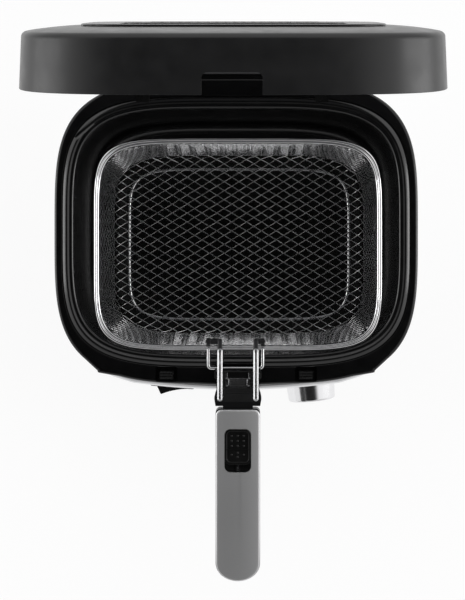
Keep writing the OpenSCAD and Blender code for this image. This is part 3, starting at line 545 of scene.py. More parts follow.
# %% Spun metal
def spun(slot, colour, roughness, place):
    """Metal turned about the -Y axis of a place."""
    finish = Finish(slot, Metallic=1.0)
    spot, turn, _ = place.decompose()
    local = finish.node("Mapping", Vector=finish.place, Location=-spot)
    local = finish.node("Mapping", Vector=local.outputs["Vector"],
                        Rotation=(0, 0, -turn.to_euler().z))
    parts = finish.node("SeparateXYZ", Vector=local.outputs["Vector"])
    flat = finish.node("CombineXYZ", X=parts.outputs["X"], Y=parts.outputs["Z"])
    length = finish.node("VectorMath", "LENGTH", Vector=flat.outputs["Vector"])
    rings = finish.node("CombineXYZ", X=length.outputs["Value"], Y=parts.outputs["Y"])
    streaks = finish.noise(2200, place=rings.outputs["Vector"], detail=4.0)
    finish.colour(streaks, shade(colour, 0.97), shade(colour, 1.03))
    finish.roughness(streaks, roughness - 0.02, roughness + 0.02)
    finish.bump(streaks, 0.002, 0.4)


# %% [markdown]
# ### The list of finishes
# The blacks are not one black. The rim is half-glossy and nearly pure black, the lid is a softer
# dark grey, the pot's coating is smooth and wet-looking, and rubber is greyer and dull.

# %% Black mouldings, rubber and the pot's coating
moulding("black_plastic", (0.012, 0.012, 0.013), 0.5)
moulding("rim_black", (0.002, 0.002, 0.0022), 0.22, grain_mm=0.9, relief_mm=0.004)
moulding("lid_black", (0.0095, 0.0095, 0.01), 0.34, grain_mm=0.7, relief_mm=0.006)
moulding("frame_black", (0.006, 0.006, 0.0065), 0.3)
moulding("handle_black", (0.0025, 0.0025, 0.0028), 0.32)
moulding("button_black", (0.0015, 0.0015, 0.0015), 0.3)
moulding("catch_black", (0.0035, 0.0035, 0.0035), 0.26)
moulding("switch_black", (0.006, 0.006, 0.006), 0.28, relief_mm=0.004)
moulding("phenolic", (0.03, 0.022, 0.018), 0.45)
moulding("foot_rubber", (0.018, 0.018, 0.018), 0.78, grain_mm=0.8, relief_mm=0.03)
moulding("gasket_rubber", (0.05, 0.05, 0.053), 0.66, relief_mm=0.02)
moulding("pot_coating", (0.002, 0.002, 0.0022), 0.2, grain_mm=1.2, relief_mm=0.004,
         Specular_IOR_Level=0.8)
print(len(finishes), "mouldings")

# %% Metals
ROUND_THE_BODY = (1, 1, 60)
brushed("casing_steel", (0.6, 0.6, 0.61), 0.3, ROUND_THE_BODY)
satin("panel_silver", (0.74, 0.74, 0.75), 0.28)
satin("handle_silver", (0.68, 0.68, 0.685), 0.44)
brushed("liner_steel", (0.28, 0.28, 0.29), 0.38, (60, 1, 1))
brushed("filter_metal", (0.42, 0.42, 0.43), 0.42, (30, 1, 1))
brushed("galvanised", (0.48, 0.48, 0.5), 0.45, (3, 3, 3), 0.02)
plated("basket_chrome", (0.82, 0.82, 0.83), 0.1)
plated("basket_wire", (0.74, 0.74, 0.75), 0.18)
plated("arm_chrome", (0.7, 0.7, 0.71), 0.2)
plated("pin_steel", (0.62, 0.62, 0.63), 0.2)
# spring_steel is near black: partly the steel's own dark finish, partly painted shade for the arm ends and eyes
# that lie in the basket's shade
plated("spring_steel", (0.05, 0.05, 0.052), 0.34)
plated("zinc", (0.5, 0.51, 0.53), 0.34)
plated("contact_brass", (0.72, 0.52, 0.22), 0.25)
cast("cast_plate", (0.5, 0.5, 0.51), 0.5)
cast("element_metal", (0.16, 0.14, 0.125), 0.55)
spun("knob_metal", (0.82, 0.82, 0.83), 0.16, KNOB)
print(len(finishes), "finishes with the metals")

# %% [markdown]
# ### Glass and the lamp
# The window's glass is tinted and a little smeared with old steam. The lamp's lens is clear red
# plastic. Both let light through, and their thickness does the rest.

# %% Glass and the lamp
def clear(slot, colour, roughness, ior):
    """Clear glass or plastic with a faint film."""
    finish = Finish(slot, Transmission_Weight=1.0, IOR=ior)
    film = finish.noise(60, detail=5.0)
    finish.colour(film, shade(colour, 0.95), colour)
    finish.roughness(film, roughness, roughness + 0.08)
    finish.bump(finish.noise(500), 0.004, 0.3)


clear("window_glass", (0.34, 0.37, 0.38), 0.02, 1.5)
clear("lamp_red", (0.75, 0.02, 0.012), 0.08, 1.49)

# %% [markdown]
# Pieces whose working solid already has the right shape keep it, and only get their finish. The
# frame's record says which slot each node takes its finish from.

# %% Finish the working solids
for part in frame["record"]["subparts"]:
    node = frame["nodes"][part["node"]]
    node.data.materials.clear()
    node.data.materials.append(finishes[part["material_slot"]])
print(len(frame["nodes"]), "working solids have a finish")

# %% [markdown]
# ## The black rim
# The rim is one moulding: a skirt that hides the top of the steel casing, a rolled edge, a flat
# ledge that the lid closes on, and a sunk step where the pot's flange hangs. Its section is drawn
# once, from the foot of the skirt over the roll to the pot's opening and back underneath, and
# skinned round. Seen from above, the rim is a soft rectangle whose front follows the long arc of
# the panel below it and meets the sides in two flat cheeks. The two pockets for the catches and
# the seats of the lid's hinge are cut into it, and the hinge's ears and the shelf under the open
# lid are added.

# %% Section of the rim
gap = 0.3
body_n, flange_n, pot_n = 3.8, 4.0, 4.2
skirt_z = rim_z - 20
plate_z = rim_z - 4
recess_z = rim_z - 1.5
roll = 2.4
casing_a, casing_b = casing_high.x, casing_high.y - middle_y
flange_a, flange_b = pot_high.x, pot_high.y - middle_y
flange_w = 8.2
pot_a, pot_b = flange_a - flange_w, flange_b - 8.5
mouth_a, mouth_b = pot_a + 3.6, pot_b + 3.6
rim_points = 720
brow_r, brow_out = 585.0, 0.8
brow_half, brow_b, brow_n = 110.6, half_d + 6.5, 10


def outline_y(a, b, n, x):
    """Point above x on a soft-cornered outline."""
    return np.array([x, b * (1 - (x / a) ** n) ** (1 / n)])


cheek_start = outline_y(brow_half, brow_b, brow_n, brow_half - 2.8)
cheek_end = outline_y(half_w, half_d, body_n, half_w - 20)
cheek_out = np.array([cheek_start[1] - cheek_end[1], cheek_end[0] - cheek_start[0]])
cheek_out /= np.linalg.norm(cheek_out)


def deck_ring(i, z):
    """Outline of the rim drawn in by i: the furthest out of body, front arc and cheeks."""
    plan = outline(half_w - i, half_d - i, body_n, rim_points)
    reach = np.linalg.norm(plan, axis=1)
    direction = plan / reach[:, None]
    centre = brow_r - half_d - brow_out
    along = centre * direction[:, 1]
    front = along + np.sqrt(along ** 2 - centre ** 2 + (brow_r - i) ** 2)
    ends = np.linalg.norm(outline(brow_half - i, brow_b - i, brow_n, rim_points), axis=1)
    sides = np.abs(direction)
    turn = sides[:, 0] / np.maximum(sides[:, 1], 1e-6)
    on_cheek = (turn > cheek_start[0] / cheek_start[1]) & (turn < cheek_end[0] / cheek_end[1])
    cheek = np.where(on_cheek, (cheek_start @ cheek_out - i) / (sides @ cheek_out), 0)
    brow = np.where(direction[:, 1] < 0, np.maximum(np.minimum(front, ends), cheek), 0)
    return at(direction * np.maximum(reach, brow)[:, None], z)


def rim_rings():
    """Rings of the rim's section, from the foot of its skirt round to it again."""
    skirt = [deck_ring(0, skirt_z)]
    edge = [deck_ring(i, z) for i, z in arc(roll, rim_z - roll, roll, 180, 90, 9)]
    step = [(-0.7, rim_z), (-0.2, rim_z - 0.2), (0, rim_z - 0.7), (0, recess_z)]
    mouth, under = [(0, recess_z), (0, plate_z)], [(0, plate_z), (0, skirt_z)]
    return (
        skirt + edge
        + stack(flange_a + gap, flange_b + gap, flange_n, step, count=rim_points)
        + stack(mouth_a, mouth_b, pot_n, mouth, count=rim_points)
        + stack(casing_a + gap, casing_b + gap, body_n, under, count=rim_points)
    )


# %% Hinge stations and ears
hinge_x = 60.0
ear_t = 4.0
knuckle_w, spring_w = 11.0, 8.4
hinge_w = 2 * ear_t + knuckle_w + spring_w + 3 * gap


def both_hinges(shape):
    """A shape drawn at the right hinge, and its mirror image at the left one."""
    right = moved(shape, shift(hinge_x, hinge_y, rim_z))
    return [right, mirrored(right)]


def ear(x):
    """Ear with a round top, from x on."""
    section = np.concatenate([arc(0, 0, 4, 0, 180, 17), [(-10, 0), (-10, -18), (4, -18)]])
    return sideways(slab(section, x, x + ear_t))


ears = both_hinges(ear(-hinge_w / 2)) + both_hinges(ear(hinge_w / 2 - ear_t))
seat = block(-hinge_w / 2 + ear_t, hinge_w / 2 - ear_t, -6, 14, -6.5, 13)

# %% Pockets of the catches
catch_x = 54.0
catch_back = casing_b + 2.5 - 10.6
catch_deep = 6.7
pocket_w, pocket_wall = 17.0, 1.8
pocket_z = measured("catch_left")[0].z - gap


def pocket(side, wall, z0, z1):
    """Box round a catch, with a wall thickness to spare."""
    back = -(catch_back - 3.2) + wall
    front = -(catch_back + catch_deep + 1.9)
    plan = rounded(side * catch_x - pocket_w / 2 - wall, side * catch_x + pocket_w / 2 + wall,
                   front, back, 1.6 + wall)
    return slab(plan, z0, z1)


pocket_boxes = [pocket(side, pocket_wall, pocket_z - 2.2, plate_z + 1) for side in (-1, 1)]
pocket_holes = [pocket(side, 0, pocket_z, rim_z + 1) for side in (-1, 1)]

# %% Build the rim
bolt_spots = [(sx * 100, sy * (half_d - 20.5)) for sx in (-1, 1) for sy in (-1, 1)]
boss = rod(5, plate_z - 8, plate_z + 1, 32)
bolt_bosses = [moved(boss, shift(x, y, 0)) for x, y in bolt_spots]
shelf_half = hinge_x - hinge_w / 2 - 4
shelf = block(-shelf_half, shelf_half, half_d - 5, half_d + 8, skirt_z, rim_z - 0.6)
piece("black_rim", loft(rim_rings(), closed=True), BODY, "base", "rim_black", ["top_deck"],
      adds=ears + pocket_boxes + bolt_bosses + [shelf],
      cuts=pocket_holes + both_hinges(seat), soften=0.35)

# %% [markdown]
# ## Casing and front panel
# The casing is a wrapped sheet of brushed steel. Seen from the side it is the largest surface of
# all, so it is skinned finely enough that no facet shows, with the opening for the power inlet
# cut through at the back. The panel is a silver moulding that bulges forward from it. Its plan
# is a long arc whose ends bend back, and its section leans in towards the foot.

# %% Casing
inlet_low, inlet_high = measured("power_inlet")
inlet_z = (inlet_low.z + inlet_high.z) / 2
inlet_w, inlet_h = 44.0, 26.0
casing_top = casing_high.z
sheet_t = 0.8
casing_section = [(0, casing_low.z), (0, casing_top), (sheet_t, casing_top),
                  (sheet_t, casing_low.z)]
inlet_hole = frontward(slab(centred(inlet_w + 2 * gap, inlet_h + 2 * gap, 2, inlet_z),
                            -casing_b - 5, -casing_b + 12))
panel_window = block(-84, 84, -half_d - 5, -half_d + 22, 34, 159.6)
slot_half = pocket_w / 2 + pocket_wall + 0.5
pocket_slots = [
    block(side * catch_x - slot_half, side * catch_x + slot_half, -half_d - 1, -half_d + 12,
          pocket_z - 2.6, rim_z)
    for side in (-1, 1)
]
piece("steel_casing",
      loft(stack(casing_a, casing_b, body_n, casing_section), closed=True),
      BODY, "base", "casing_steel", ["outer_casing"],
      cuts=[inlet_hole, panel_window] + pocket_slots)

# %% Front panel
panel_low, panel_high = measured("front_panel")
panel_half = 109.0
panel_top, panel_foot = panel_high.z, panel_low.z
panel_wall = 2.5
panel_round = 4.5
panel_end = [(-60, 20), (-33, 3.1), (-11.6, -3.6), (-4.5, -6.7), (0, -9.9)]


def panel_plan(i):
    """Plan of the panel drawn in by i: a long arc at the front that bends back at both ends."""
    reach = panel_half - i
    x = reach * np.sin(np.radians(np.linspace(-90, 90, 121)))
    bulge = -panel_axis_y + middle_y + np.sqrt((panel_radius - i) ** 2 - x ** 2)
    ends = np.interp(np.abs(x), [reach + out for out, _ in panel_end],
                     [half_d + ahead - i for _, ahead in panel_end])
    front = np.column_stack([x, -np.minimum(bulge, ends)])
    return np.concatenate([front, [(reach, -half_d + 33), (-reach, -half_d + 33)]])


panel_section = [(15, panel_foot), (7.5, panel_foot), (6, panel_foot + 0.6), (4, panel_foot + 4),
                 (2.2, panel_foot + 9), (0.9, panel_foot + 16), (0.2, panel_foot + 24),
                 (0, panel_foot + 34)]
panel_section += [*arc(panel_round, panel_top - panel_round, panel_round, 180, 90, 10),
                  (15, panel_top)]
panel_outside = loft([at(panel_plan(i), z) for i, z in panel_section])
panel_inside = loft([
    at(panel_plan(i + panel_wall), z)
    for i, z in ((6, panel_foot + panel_wall), (1, panel_foot + 18), (0, panel_foot + 34),
                 (0, panel_top - panel_round), (panel_round, panel_top - panel_wall))
])
body_hole = slab(outline(casing_a + gap, casing_b + gap, body_n), 0, rim_z)
switch_w, switch_h = 31.0, 11.0
spindle_hole = moved(frontward(rod(3.6, 0, 17)), shift(0, 7, 0))
switch_hole = frontward(block(-switch_w / 2 - gap, switch_w / 2 + gap,
                              -switch_h / 2 - gap, switch_h / 2 + gap, -8, 8))
lamp_low, lamp_high = measured("ready_lamp")
lamp_z = (lamp_low.z + lamp_high.z) / 2
lamp_hole = moved(frontward(rod(3.1, 0, 20)), shift(0, -half_d + 4, lamp_z))
to_body = BODY.inverted()
piece("silver_panel", panel_outside, BODY, "base", "panel_silver", ["front_panel"],
      cuts=[panel_inside, body_hole, moved(spindle_hole, to_body @ KNOB),
            moved(switch_hole, to_body @ ROCKER), lamp_hole], soften=0.2)

# %% [markdown]
# ## Knob and switch
# The temperature knob is a short cylinder of spun metal with a rounded front edge and a milled
# pointer slot. It is turned from a section, like the real one. The switch has a frame with soft
# corners and a rocker whose face is hollow, so that a finger finds each end.

# %% Temperature knob
knob_low, knob_high = measured("temperature_knob")
knob_r = (knob_high.z - knob_low.z) / 2
knob_deep = 14.9
knob_edge = 1.9
knob_section = [(2, 0.4), (knob_r - 0.3, 0.4), (knob_r, 0.7), (knob_r, 2.0), (knob_r - 0.15, 2.4)]
knob_section += [*arc(knob_r - 0.9 - knob_edge, knob_deep - knob_edge, knob_edge, 0, 90, 9)]
knob_section += [(knob_r - 5, knob_deep), (knob_r - 5.4, knob_deep - 0.25), (2, knob_deep - 0.25)]
pointer_plan = rounded(-0.8, 0.8, knob_r * 0.42, knob_r - 3.2, 0.7, 4)
pointer = frontward(slab(pointer_plan, knob_deep - 1.2, knob_deep + 1))
piece("knob", frontward(turned(knob_section, 128)), KNOB, "knob", "knob_metal",
      ["temperature_knob"], cuts=[pointer], soften=0.12)

# %% Switch
bezel_rim, bezel_t = 2.2, 3.4
switch_face = shift(0, -0.5, 0)
bezel = centred(switch_w + 2 * bezel_rim, switch_h + 2 * bezel_rim, 2.6)
well = centred(switch_w - 1.6, switch_h - 1.8, 1.2)
switch_body = centred(switch_w, switch_h, 0.8)
tabs = [block(side * 7.75 - 2.4, side * 7.75 + 2.4, 15, 19, -0.4, 0.4) for side in (-1, 1)]
pin_bore = moved(rod(1.25, 0.3 - switch_h / 2, switch_h / 2 - 0.3, 24), shift(0, 0.5, 0))
front_bezel, back_body, hole = (
    moved(frontward(slab(*form)), switch_face)
    for form in ((bezel, 0.2, bezel_t + 0.2), (switch_body, -15, 0.3), (well, -10, 5))
)
piece("switch_frame", front_bezel, ROCKER, "base", "switch_black", ["switch_housing"],
      adds=[back_body] + [moved(tab, switch_face) for tab in tabs],
      cuts=[hole, moved(pin_bore, switch_face)], soften=0.3)

rocker_len = 28.0
rocker_thick = switch_h - 1.8 - 2 * gap
rocker_tilt = 16.0
half = rocker_len / 2
face = [(x, -7.3 - (x / (half - 3)) ** 2) for x in np.linspace(3 - half, half - 3, 25)]
rocker_plan = np.array(
    [(0.8 - half, -1.5), (2.2 - half, -7.5), (2.5 - half, -8.1)] + face
    + [(half - 2.5, -8.1), (half - 2.2, -7.5), (half - 0.8, -1.5), (half - 1, 0.5)]
    + [(3, 4), (-3, 4), (1 - half, 0.5)]
)
rocker_pin = rod(1.2, 0.4 - switch_h / 2, switch_h / 2 - 0.4, 24)
rocker_slab = moved(slab(rocker_plan, -rocker_thick / 2, rocker_thick / 2), spin(rocker_tilt, "Z"))
piece("rocker", moved(rocker_slab, shift(0, 0.5, 0)), ROCKER, "rocker", "switch_black",
      ["switch_rocker"], adds=[moved(rocker_pin, shift(0, 0.5, 0))], soften=0.5)

# %% [markdown]
# ## Catches
# Two small catches sit in pockets at the front and hold the lid's steel tongues. Each has three
# ribs for the fingertip. They are alike, so one function makes both.

# %% Catches
catch_top = rim_z - gap
catch_w = 10.8


def catch(name, node, body, side):
    """Ribbed catch on one side."""
    x = side * catch_x
    body_block = slab(rounded(x - catch_w / 2, x + catch_w / 2, -catch_back - catch_deep,
                              -catch_back, 0.9),
                      pocket_z + gap, catch_top)
    rib = sideways(turned([(0.2, 0), (0.5, 0.25), (0.5, catch_w - 1.45), (0.2, catch_w - 1.2)], 16))
    ribs = [moved(rib, shift(x + 0.6 - catch_w / 2, -catch_back - 1.2 - 2.1 * i, catch_top))
            for i in range(3)]
    piece(name, body_block, BODY, body, "catch_black", [node], adds=ribs, soften=0.25)


catch("left_catch", "catch_left", "catch_l", -1)
catch("right_catch", "catch_right", "catch_r", 1)

# %% [markdown]
# ## The pot
# The pot is a deep drawing with a non-stick coating. Its flange isn't flat: it rises from a thin
# outer edge to a low crest, dips, rises again at the mouth and turns down into the wall, and each
# of those slopes shows as a soft grey band. The section runs from the middle of the underside up
# the outside, over the flange and down the inside to the floor.

# %% Section of the pot
pot_floor = pot_low.z + 2
pot_lean, mouth_lean = 3.5, 0.7
bottom_round = 9.0
pot_t = 2.0


def pot_ring(d, z):
    """Ring at distance d out from the mouth's edge, at height z."""
    share = max(d, 0) / flange_w
    return ring(pot_a + d, pot_b + d + 0.3 * share, pot_n - 0.2 * share, z)


def wall_ring(out, z):
    """Ring of the pot's leaning wall and round bottom, seen from inside or outside."""
    low = pot_floor + bottom_round
    if z >= low:
        return pot_ring(out - mouth_lean - (pot_lean - mouth_lean) * (rim_z - z) / (rim_z - low), z)
    drop = (low - z) / (bottom_round + out)
    inward = (bottom_round + out) * (1 - math.sqrt(max(1 - drop ** 2, 0)))
    return pot_ring(out - pot_lean - inward, z)


flange_top = pot_high.z
flange_under = flange_top - 2
flange_section = [(flange_w, -1.8), (8.15, -1.5), (7.7, -1.15), (6.9, -0.72), (6.1, -0.34),
                  (5.4, -0.1), (4.8, 0), (4.1, -0.12), (3.3, -0.5), (2.6, -0.74), (1.9, -0.76),
                  (1.2, -0.72), (0.6, -0.85), (0.1, -1.15), (-0.35, -1.7), (-0.6, -2.5)]
outside = [wall_ring(pot_t, z) for z in (pot_low.z + 0.01, pot_low.z + 0.8, pot_low.z + 3,
                                         pot_low.z + 6.5, pot_floor + bottom_round,
                                         flange_under - 6)]
under_flange = [pot_ring(2, flange_under), pot_ring(7.6, flange_under)]
over_flange = [pot_ring(d, flange_top + z) for d, z in flange_section]
inside = [wall_ring(0, z) for z in (flange_top - 5, 150, 120, pot_floor + bottom_round,
                                    pot_floor + 6, pot_floor + 3.4, pot_floor + 1.5,
                                    pot_floor + 0.4, pot_floor)]
pour_notch = moved(sideways(rod(3.4, -9, 9, 40)),
                   shift(-0.93 * pot_a, 0.82 * pot_b, flange_top + 2.2) @ spin(40, "Z"))
piece("coated_pot", loft(outside + under_flange + over_flange + inside), BODY, "pot",
      "pot_coating", ["pot"], cuts=[pour_notch], crease=50)

# %% [markdown]
# ## The basket
# The basket is woven from bright wire. A texture could fake that, but here light passes between
# the wires and the pot shows through, so they are real wires. The maker presses a flat sheet of
# diamond mesh into a tub, and the same can be done in code: draw straight wires on a flat sheet
# in two slanting families, leave what falls on the floor where it is, and fold what lies beyond
# the floor's outline up the wall at the nearest place. The diamonds then stretch at the corners
# as they do in the real basket. Each wire also rises and dips by half its thickness at every
# crossing, over one and under the next.

# %% The sheet and the tub
wire_r = 0.45
diamond_w, diamond_h = 12.6, 7.6
mesh_n = 6.0
mesh_lean, mesh_round = 4.5, 8.0
mesh_top = band_low.z + 0.25
mesh_floor_z = mesh_low.z + 0.85
mesh_a, mesh_b = mesh_high.x - basket_x - 0.8, mesh_high.y - middle_y - basket_y - 0.8
fold = outline(mesh_a - mesh_lean - mesh_round, mesh_b - mesh_lean - mesh_round, mesh_n, 720)
bend_len = mesh_round * math.pi / 2
wall_rise = mesh_top - mesh_floor_z - mesh_round
wall_len = math.hypot(wall_rise, mesh_lean)
reach = bend_len + wall_len


def folded(points, lift):
    """Flat points pressed into the tub, each lifted off the sheet by its own amount."""
    edges = np.roll(fold, -1, axis=0) - fold
    lengths = np.linalg.norm(edges, axis=1)
    normals = np.column_stack([edges[:, 1], -edges[:, 0]]) / lengths[:, None]
    offsets = points[:, None, :] - fold[None, :, :]
    share = np.clip((offsets * edges).sum(2) / lengths ** 2, 0, 1)
    feet = fold[None, :, :] + share[..., None] * edges[None, :, :]
    gaps = points[:, None, :] - feet
    apart = np.linalg.norm(gaps, axis=2)
    nearest = apart.argmin(1)
    rows = np.arange(len(points))
    foot, far = feet[rows, nearest], apart[rows, nearest]
    beyond = (points ** 2).sum(1) > (foot ** 2).sum(1)
    outward = np.where(far[:, None] > 1e-6, gaps[rows, nearest] / np.maximum(far, 1e-6)[:, None],
                       normals[nearest])
    turn = np.clip(far / mesh_round, 0, math.pi / 2)
    climb = np.clip(far - bend_len, 0, None) / wall_len
    out = mesh_round * np.sin(turn) + mesh_lean * climb - lift * np.sin(turn)
    up = mesh_round * (1 - np.cos(turn)) + wall_rise * climb + lift * np.cos(turn)
    wall = np.column_stack([foot + outward * out[:, None], mesh_floor_z + up])
    floor = np.column_stack([points, mesh_floor_z + lift])
    return np.where(beyond[:, None], wall, floor), np.where(beyond, far, 0)


# %% Weave the mesh
slope = diamond_h / diamond_w
span_x = mesh_a - mesh_lean - mesh_round + reach
span_y = mesh_b - mesh_lean - mesh_round + reach
families = int((span_y + slope * span_x) / diamond_h)
weave = wire_r * 0.95
step = 1.9
wires = []
for sign in (1, -1):
    for number in range(-families, families + 1):
        x = np.arange(-span_x, span_x, step)
        y = sign * slope * x + number * diamond_h
        crossing = (y + sign * slope * x) / diamond_h
        lift = sign * weave * np.cos(math.pi * (crossing + number))
        path, far = folded(np.column_stack([x, y]), lift)
        path = path[far <= reach]
        if len(path) > 3:
            wires.append(wire(path, wire_r, 5))
piece("wire_mesh", joined(wires), BASKET @ shift(0, basket_y, 0), "basket", "basket_wire",
      ["basket_mesh"], crease=80)
print(len(wires), "wires")

# %% [markdown]
# ### Rim, base ring and bracket
# The top of the mesh is clamped in a bright steel band, rolled into two ridges with a groove
# between them. A round wire ring under the basket keeps it off the pot's floor. At the front a
# wire bracket is welded on, which reaches out over the pot's flange, and inside the rim stand two
# eyes for the handle's pins. They are near black: partly dark steel, partly painted shade, since
# they lie in the basket's shade. Wires are drawn as a path with a radius, so a bend is just an
# arc in the path.

# %% Basket rim and base ring
band_a, band_b = band_high.x - basket_x, (band_high.y - band_low.y) / 2
band_top, band_foot = band_high.z, band_low.z
ridge, band_t = 1.05, 3.9
ridge_section = [
    (0, band_foot), *arc(ridge, band_top - ridge, ridge, 180, 25, 8),
    *arc(band_t - ridge, band_top - ridge, ridge, 155, 0, 8), (band_t, band_foot),
]
piece("basket_band",
      loft(stack(band_a, band_b, mesh_n, ridge_section, basket_y, 360), closed=True),
      BASKET, "basket", "basket_chrome", ["basket_rim"], crease=60)

stand_low, stand_high = measured("basket_base_ring")
stand_r = (stand_high.z - stand_low.z) / 2
stand_a = stand_high.x - basket_x - stand_r
stand_b = stand_high.y - middle_y - basket_y - stand_r
stand_path = ring(stand_a, stand_b, mesh_n, stand_low.z + stand_r, basket_y, 180)
piece("stand_ring", wire(stand_path, stand_r, 12, closed=True), BASKET, "basket", "basket_chrome",
      ["basket_base_ring"], crease=60)

# %% Bracket
bracket_low, bracket_high = measured("basket_bracket")
bracket_r = 1.3
bracket_half = 21.0
bracket_bend = 2.4
bracket_x = (bracket_low.x + bracket_high.x) / 2 - basket_x
bracket_z = pivot.z
bar_y = bracket_low.y - middle_y + bracket_r
pivot_y = pivot.y - middle_y
band_front = basket_y - band_b
leg_end = band_front + bracket_r
corner_x = bracket_half - bracket_bend
bracket_plan = np.concatenate([
    [(bracket_half, y) for y in np.linspace(leg_end, bar_y + bracket_bend + 1, 8)],
    arc(corner_x, bar_y + bracket_bend, bracket_bend, 0, -90, 9),
    arc(-corner_x, bar_y + bracket_bend, bracket_bend, -90, -180, 9),
    [(-bracket_half, y) for y in np.linspace(bar_y + bracket_bend + 1, leg_end, 8)],
])
piece("bracket", wire(at(bracket_plan, bracket_z), bracket_r, 16), BASKET @ shift(bracket_x, 0, 0),
      "basket", "basket_chrome", ["basket_bracket"], crease=60)

eye_r, eye_half = 2.7, bracket_r + 0.2
eye_back = band_front + 4.0
eye_plan = np.concatenate([
    arc(pivot_y, bracket_z, eye_r, -30, 180, 20),
    [(eye_back, bracket_z - bracket_r - gap), (eye_back, band_foot), (pivot_y, band_foot)],
])
eye = sideways(slab(eye_plan, -eye_half, eye_half))
eye_bore = moved(rod(1.2, -eye_half - 1, eye_half + 1, 24), ALONG_X @ shift(pivot_y, bracket_z, 0))
# The eyes' near-black steel finish is partly painted shade.
for side, name in ((-1, "left_eye"), (1, "right_eye")):
    piece(name, eye, BASKET @ shift(bracket_x + side * bracket_half, 0, 0), "basket",
          "spring_steel", cuts=[eye_bore], soften=0.25)

# %% [markdown]
# ## The handle
# Two bright arms run from inside the basket's rim up into a black collar. Each arm is a flat bar
# with rounded edges, a shallow groove down its middle and a slot near its tip. A plan outline with
# round ends can be drawn in by any distance without changing its middle line, so the bar is a
# stack of rings, drawn level and then tipped about the pivots. The arms' inner ends turn down there,
# and out to the eyes, with a bush on each pin. They are near black: partly dark steel, partly
# painted shade, since they lie in the basket's shade.

# %% Arms
arm_half = 13.8
arm_w = 4.0
arm_foot = pivot.z + bracket_r + gap
arm_top = arm_foot + 2.2
arm_tip = pivot_y - 46.2
arm_rise = 8.5
rivet_y = pivot_y - 16.5
INCLINE = shift(0, pivot_y, pivot.z) @ spin(-arm_rise, "X") @ shift(0, -pivot_y, -pivot.z)


def capsule(y0, y1, radius):
    """Plan outline of a bar with round ends, between two end centres on the Y axis."""
    return np.concatenate([arc(0, y0, radius, 0, 180, 11), arc(0, y1, radius, 180, 360, 11)])


def arm_bar(start, end, edge=0.0):
    """Level bar with rounded edges and a grooved top. edge makes it thinner all round."""
    section = [(0.25 + edge, arm_foot + edge), (edge, arm_foot + 0.25 + edge)]
    section += [(0.7 - 0.7 * math.cos(t) + edge, arm_top - edge - 0.7 + 0.7 * math.sin(t))
                for t in np.linspace(0.1, 1.5, 7)]
    section += [(0.95 + edge, arm_top - edge - 0.08), (1.1 + edge, arm_top - edge - 0.3),
                (1.85, arm_top - edge - 0.34)]
    return loft([at(capsule(start, end, arm_w / 2 - i), z) for i, z in section])


def arm(side, name):
    """Bright arm on one side, and its inner end, near black as dark steel and painted shade."""
    x = side * arm_half
    shape_place = shift(x, 0, 0) @ INCLINE
    bright_start = band_front - arm_w / 2 + 1.6
    end = arm_tip + arm_w / 2
    slot = slab(capsule(end + 5.2, end + 0.7, 0.65), arm_foot - 1, arm_top + 1)
    rivet = moved(rod(0.6, arm_top - 1, arm_top + 1, 20), shift(0, rivet_y, 0))
    piece(name + "_arm", moved(arm_bar(bright_start, end), shape_place), BASKET, "handle",
          "arm_chrome", ["handle_arms"], cuts=[moved(slot, shape_place), moved(rivet, shape_place)],
          soften=0.12, crease=45)
    leg = slab(rounded(x - arm_w / 2 + 0.1, x + arm_w / 2 - 0.1, pivot_y - arm_w / 2,
                       pivot_y + arm_w / 2, 1.2),
               pivot.z - arm_w / 2, arm_foot + 0.6)
    pin_end = side * (bracket_half - arm_half + bracket_r + 0.8) + bracket_x
    on_pivot = shift(x, pivot_y, pivot.z)
    pin = moved(sideways(rod(1.1, min(0, pin_end), max(0, pin_end), 24)), on_pivot)
    bush_ends = sorted([side * (arm_w / 2 - 0.3),
                        side * (bracket_half - arm_half - eye_half - 0.15) + bracket_x])
    bush = moved(sideways(rod(2.1, *bush_ends, 32)), on_pivot)
    # The inner end's near-black steel finish is partly painted shade.
    piece(name + "_arm_end", moved(arm_bar(pivot_y, bright_start + 0.2, 0.12), shape_place), BASKET,
          "handle", "spring_steel", adds=[leg, pin, bush], soften=0.12, crease=45)


arm(-1, "left")
arm(1, "right")

# %% [markdown]
# The collar clamps the arms. It is waisted where the lid's wall comes down over it, flares out
# again behind that, and narrows to a neck. Its top slopes with the arms, which lie in shallow
# channels. Between them are an open well in which the latch shows, and a few ribs for the thumb.
# A pocket under the ribs takes the latch's hooks when the button draws them back.

# %% Collar
collar_start = collar_high.y - middle_y
neck_end = collar_low.y - middle_y
collar_end = neck_end + 1.8
collar_foot, collar_top = collar_low.z, collar_high.z
half_plan = [
    (17.2, collar_start), (18, collar_start - 0.9), (18, -half_d + 6.3), (16.3, -half_d + 4.6),
    (16.3, -half_d - 2.8), (17.4, -half_d - 5.5), (18, -half_d - 8.2), (18, -half_d - 9.8),
    (17.1, collar_end),
    (11.5, collar_end), (11.5, neck_end),
]
collar_plan = np.array([(-x, y) for x, y in half_plan] + half_plan[::-1])
latch_z, latch_t = collar_foot + 3.2, 1.6
well_end = -half_d - 1.4
channels = [
    moved(slab(capsule(collar_start + 6, arm_tip + arm_w / 2, arm_w / 2 + 0.2),
               arm_foot - 0.15, collar_top + 9), shift(side * arm_half, 0, 0) @ INCLINE)
    for side in (-1, 1)
]
slope_cut = moved(block(-25, 25, arm_tip, collar_start + 10, arm_top - 0.25, collar_top + 20),
                  INCLINE)
well_top = slab(rounded(-10.4, 10.4, well_end, collar_start - 0.9, 1.0, 4), latch_z - gap,
                collar_top + 5)
latch_way = slab(rounded(-10.6, 10.6, neck_end - 1, collar_start - 0.9, 0.8, 4),
                 latch_z - gap, latch_z + latch_t + gap)
hook_way = slab(rounded(-10.4, 10.4, well_end - 5.4, well_end + 2, 1.0, 4),
                latch_z - gap, latch_z + 5.5)
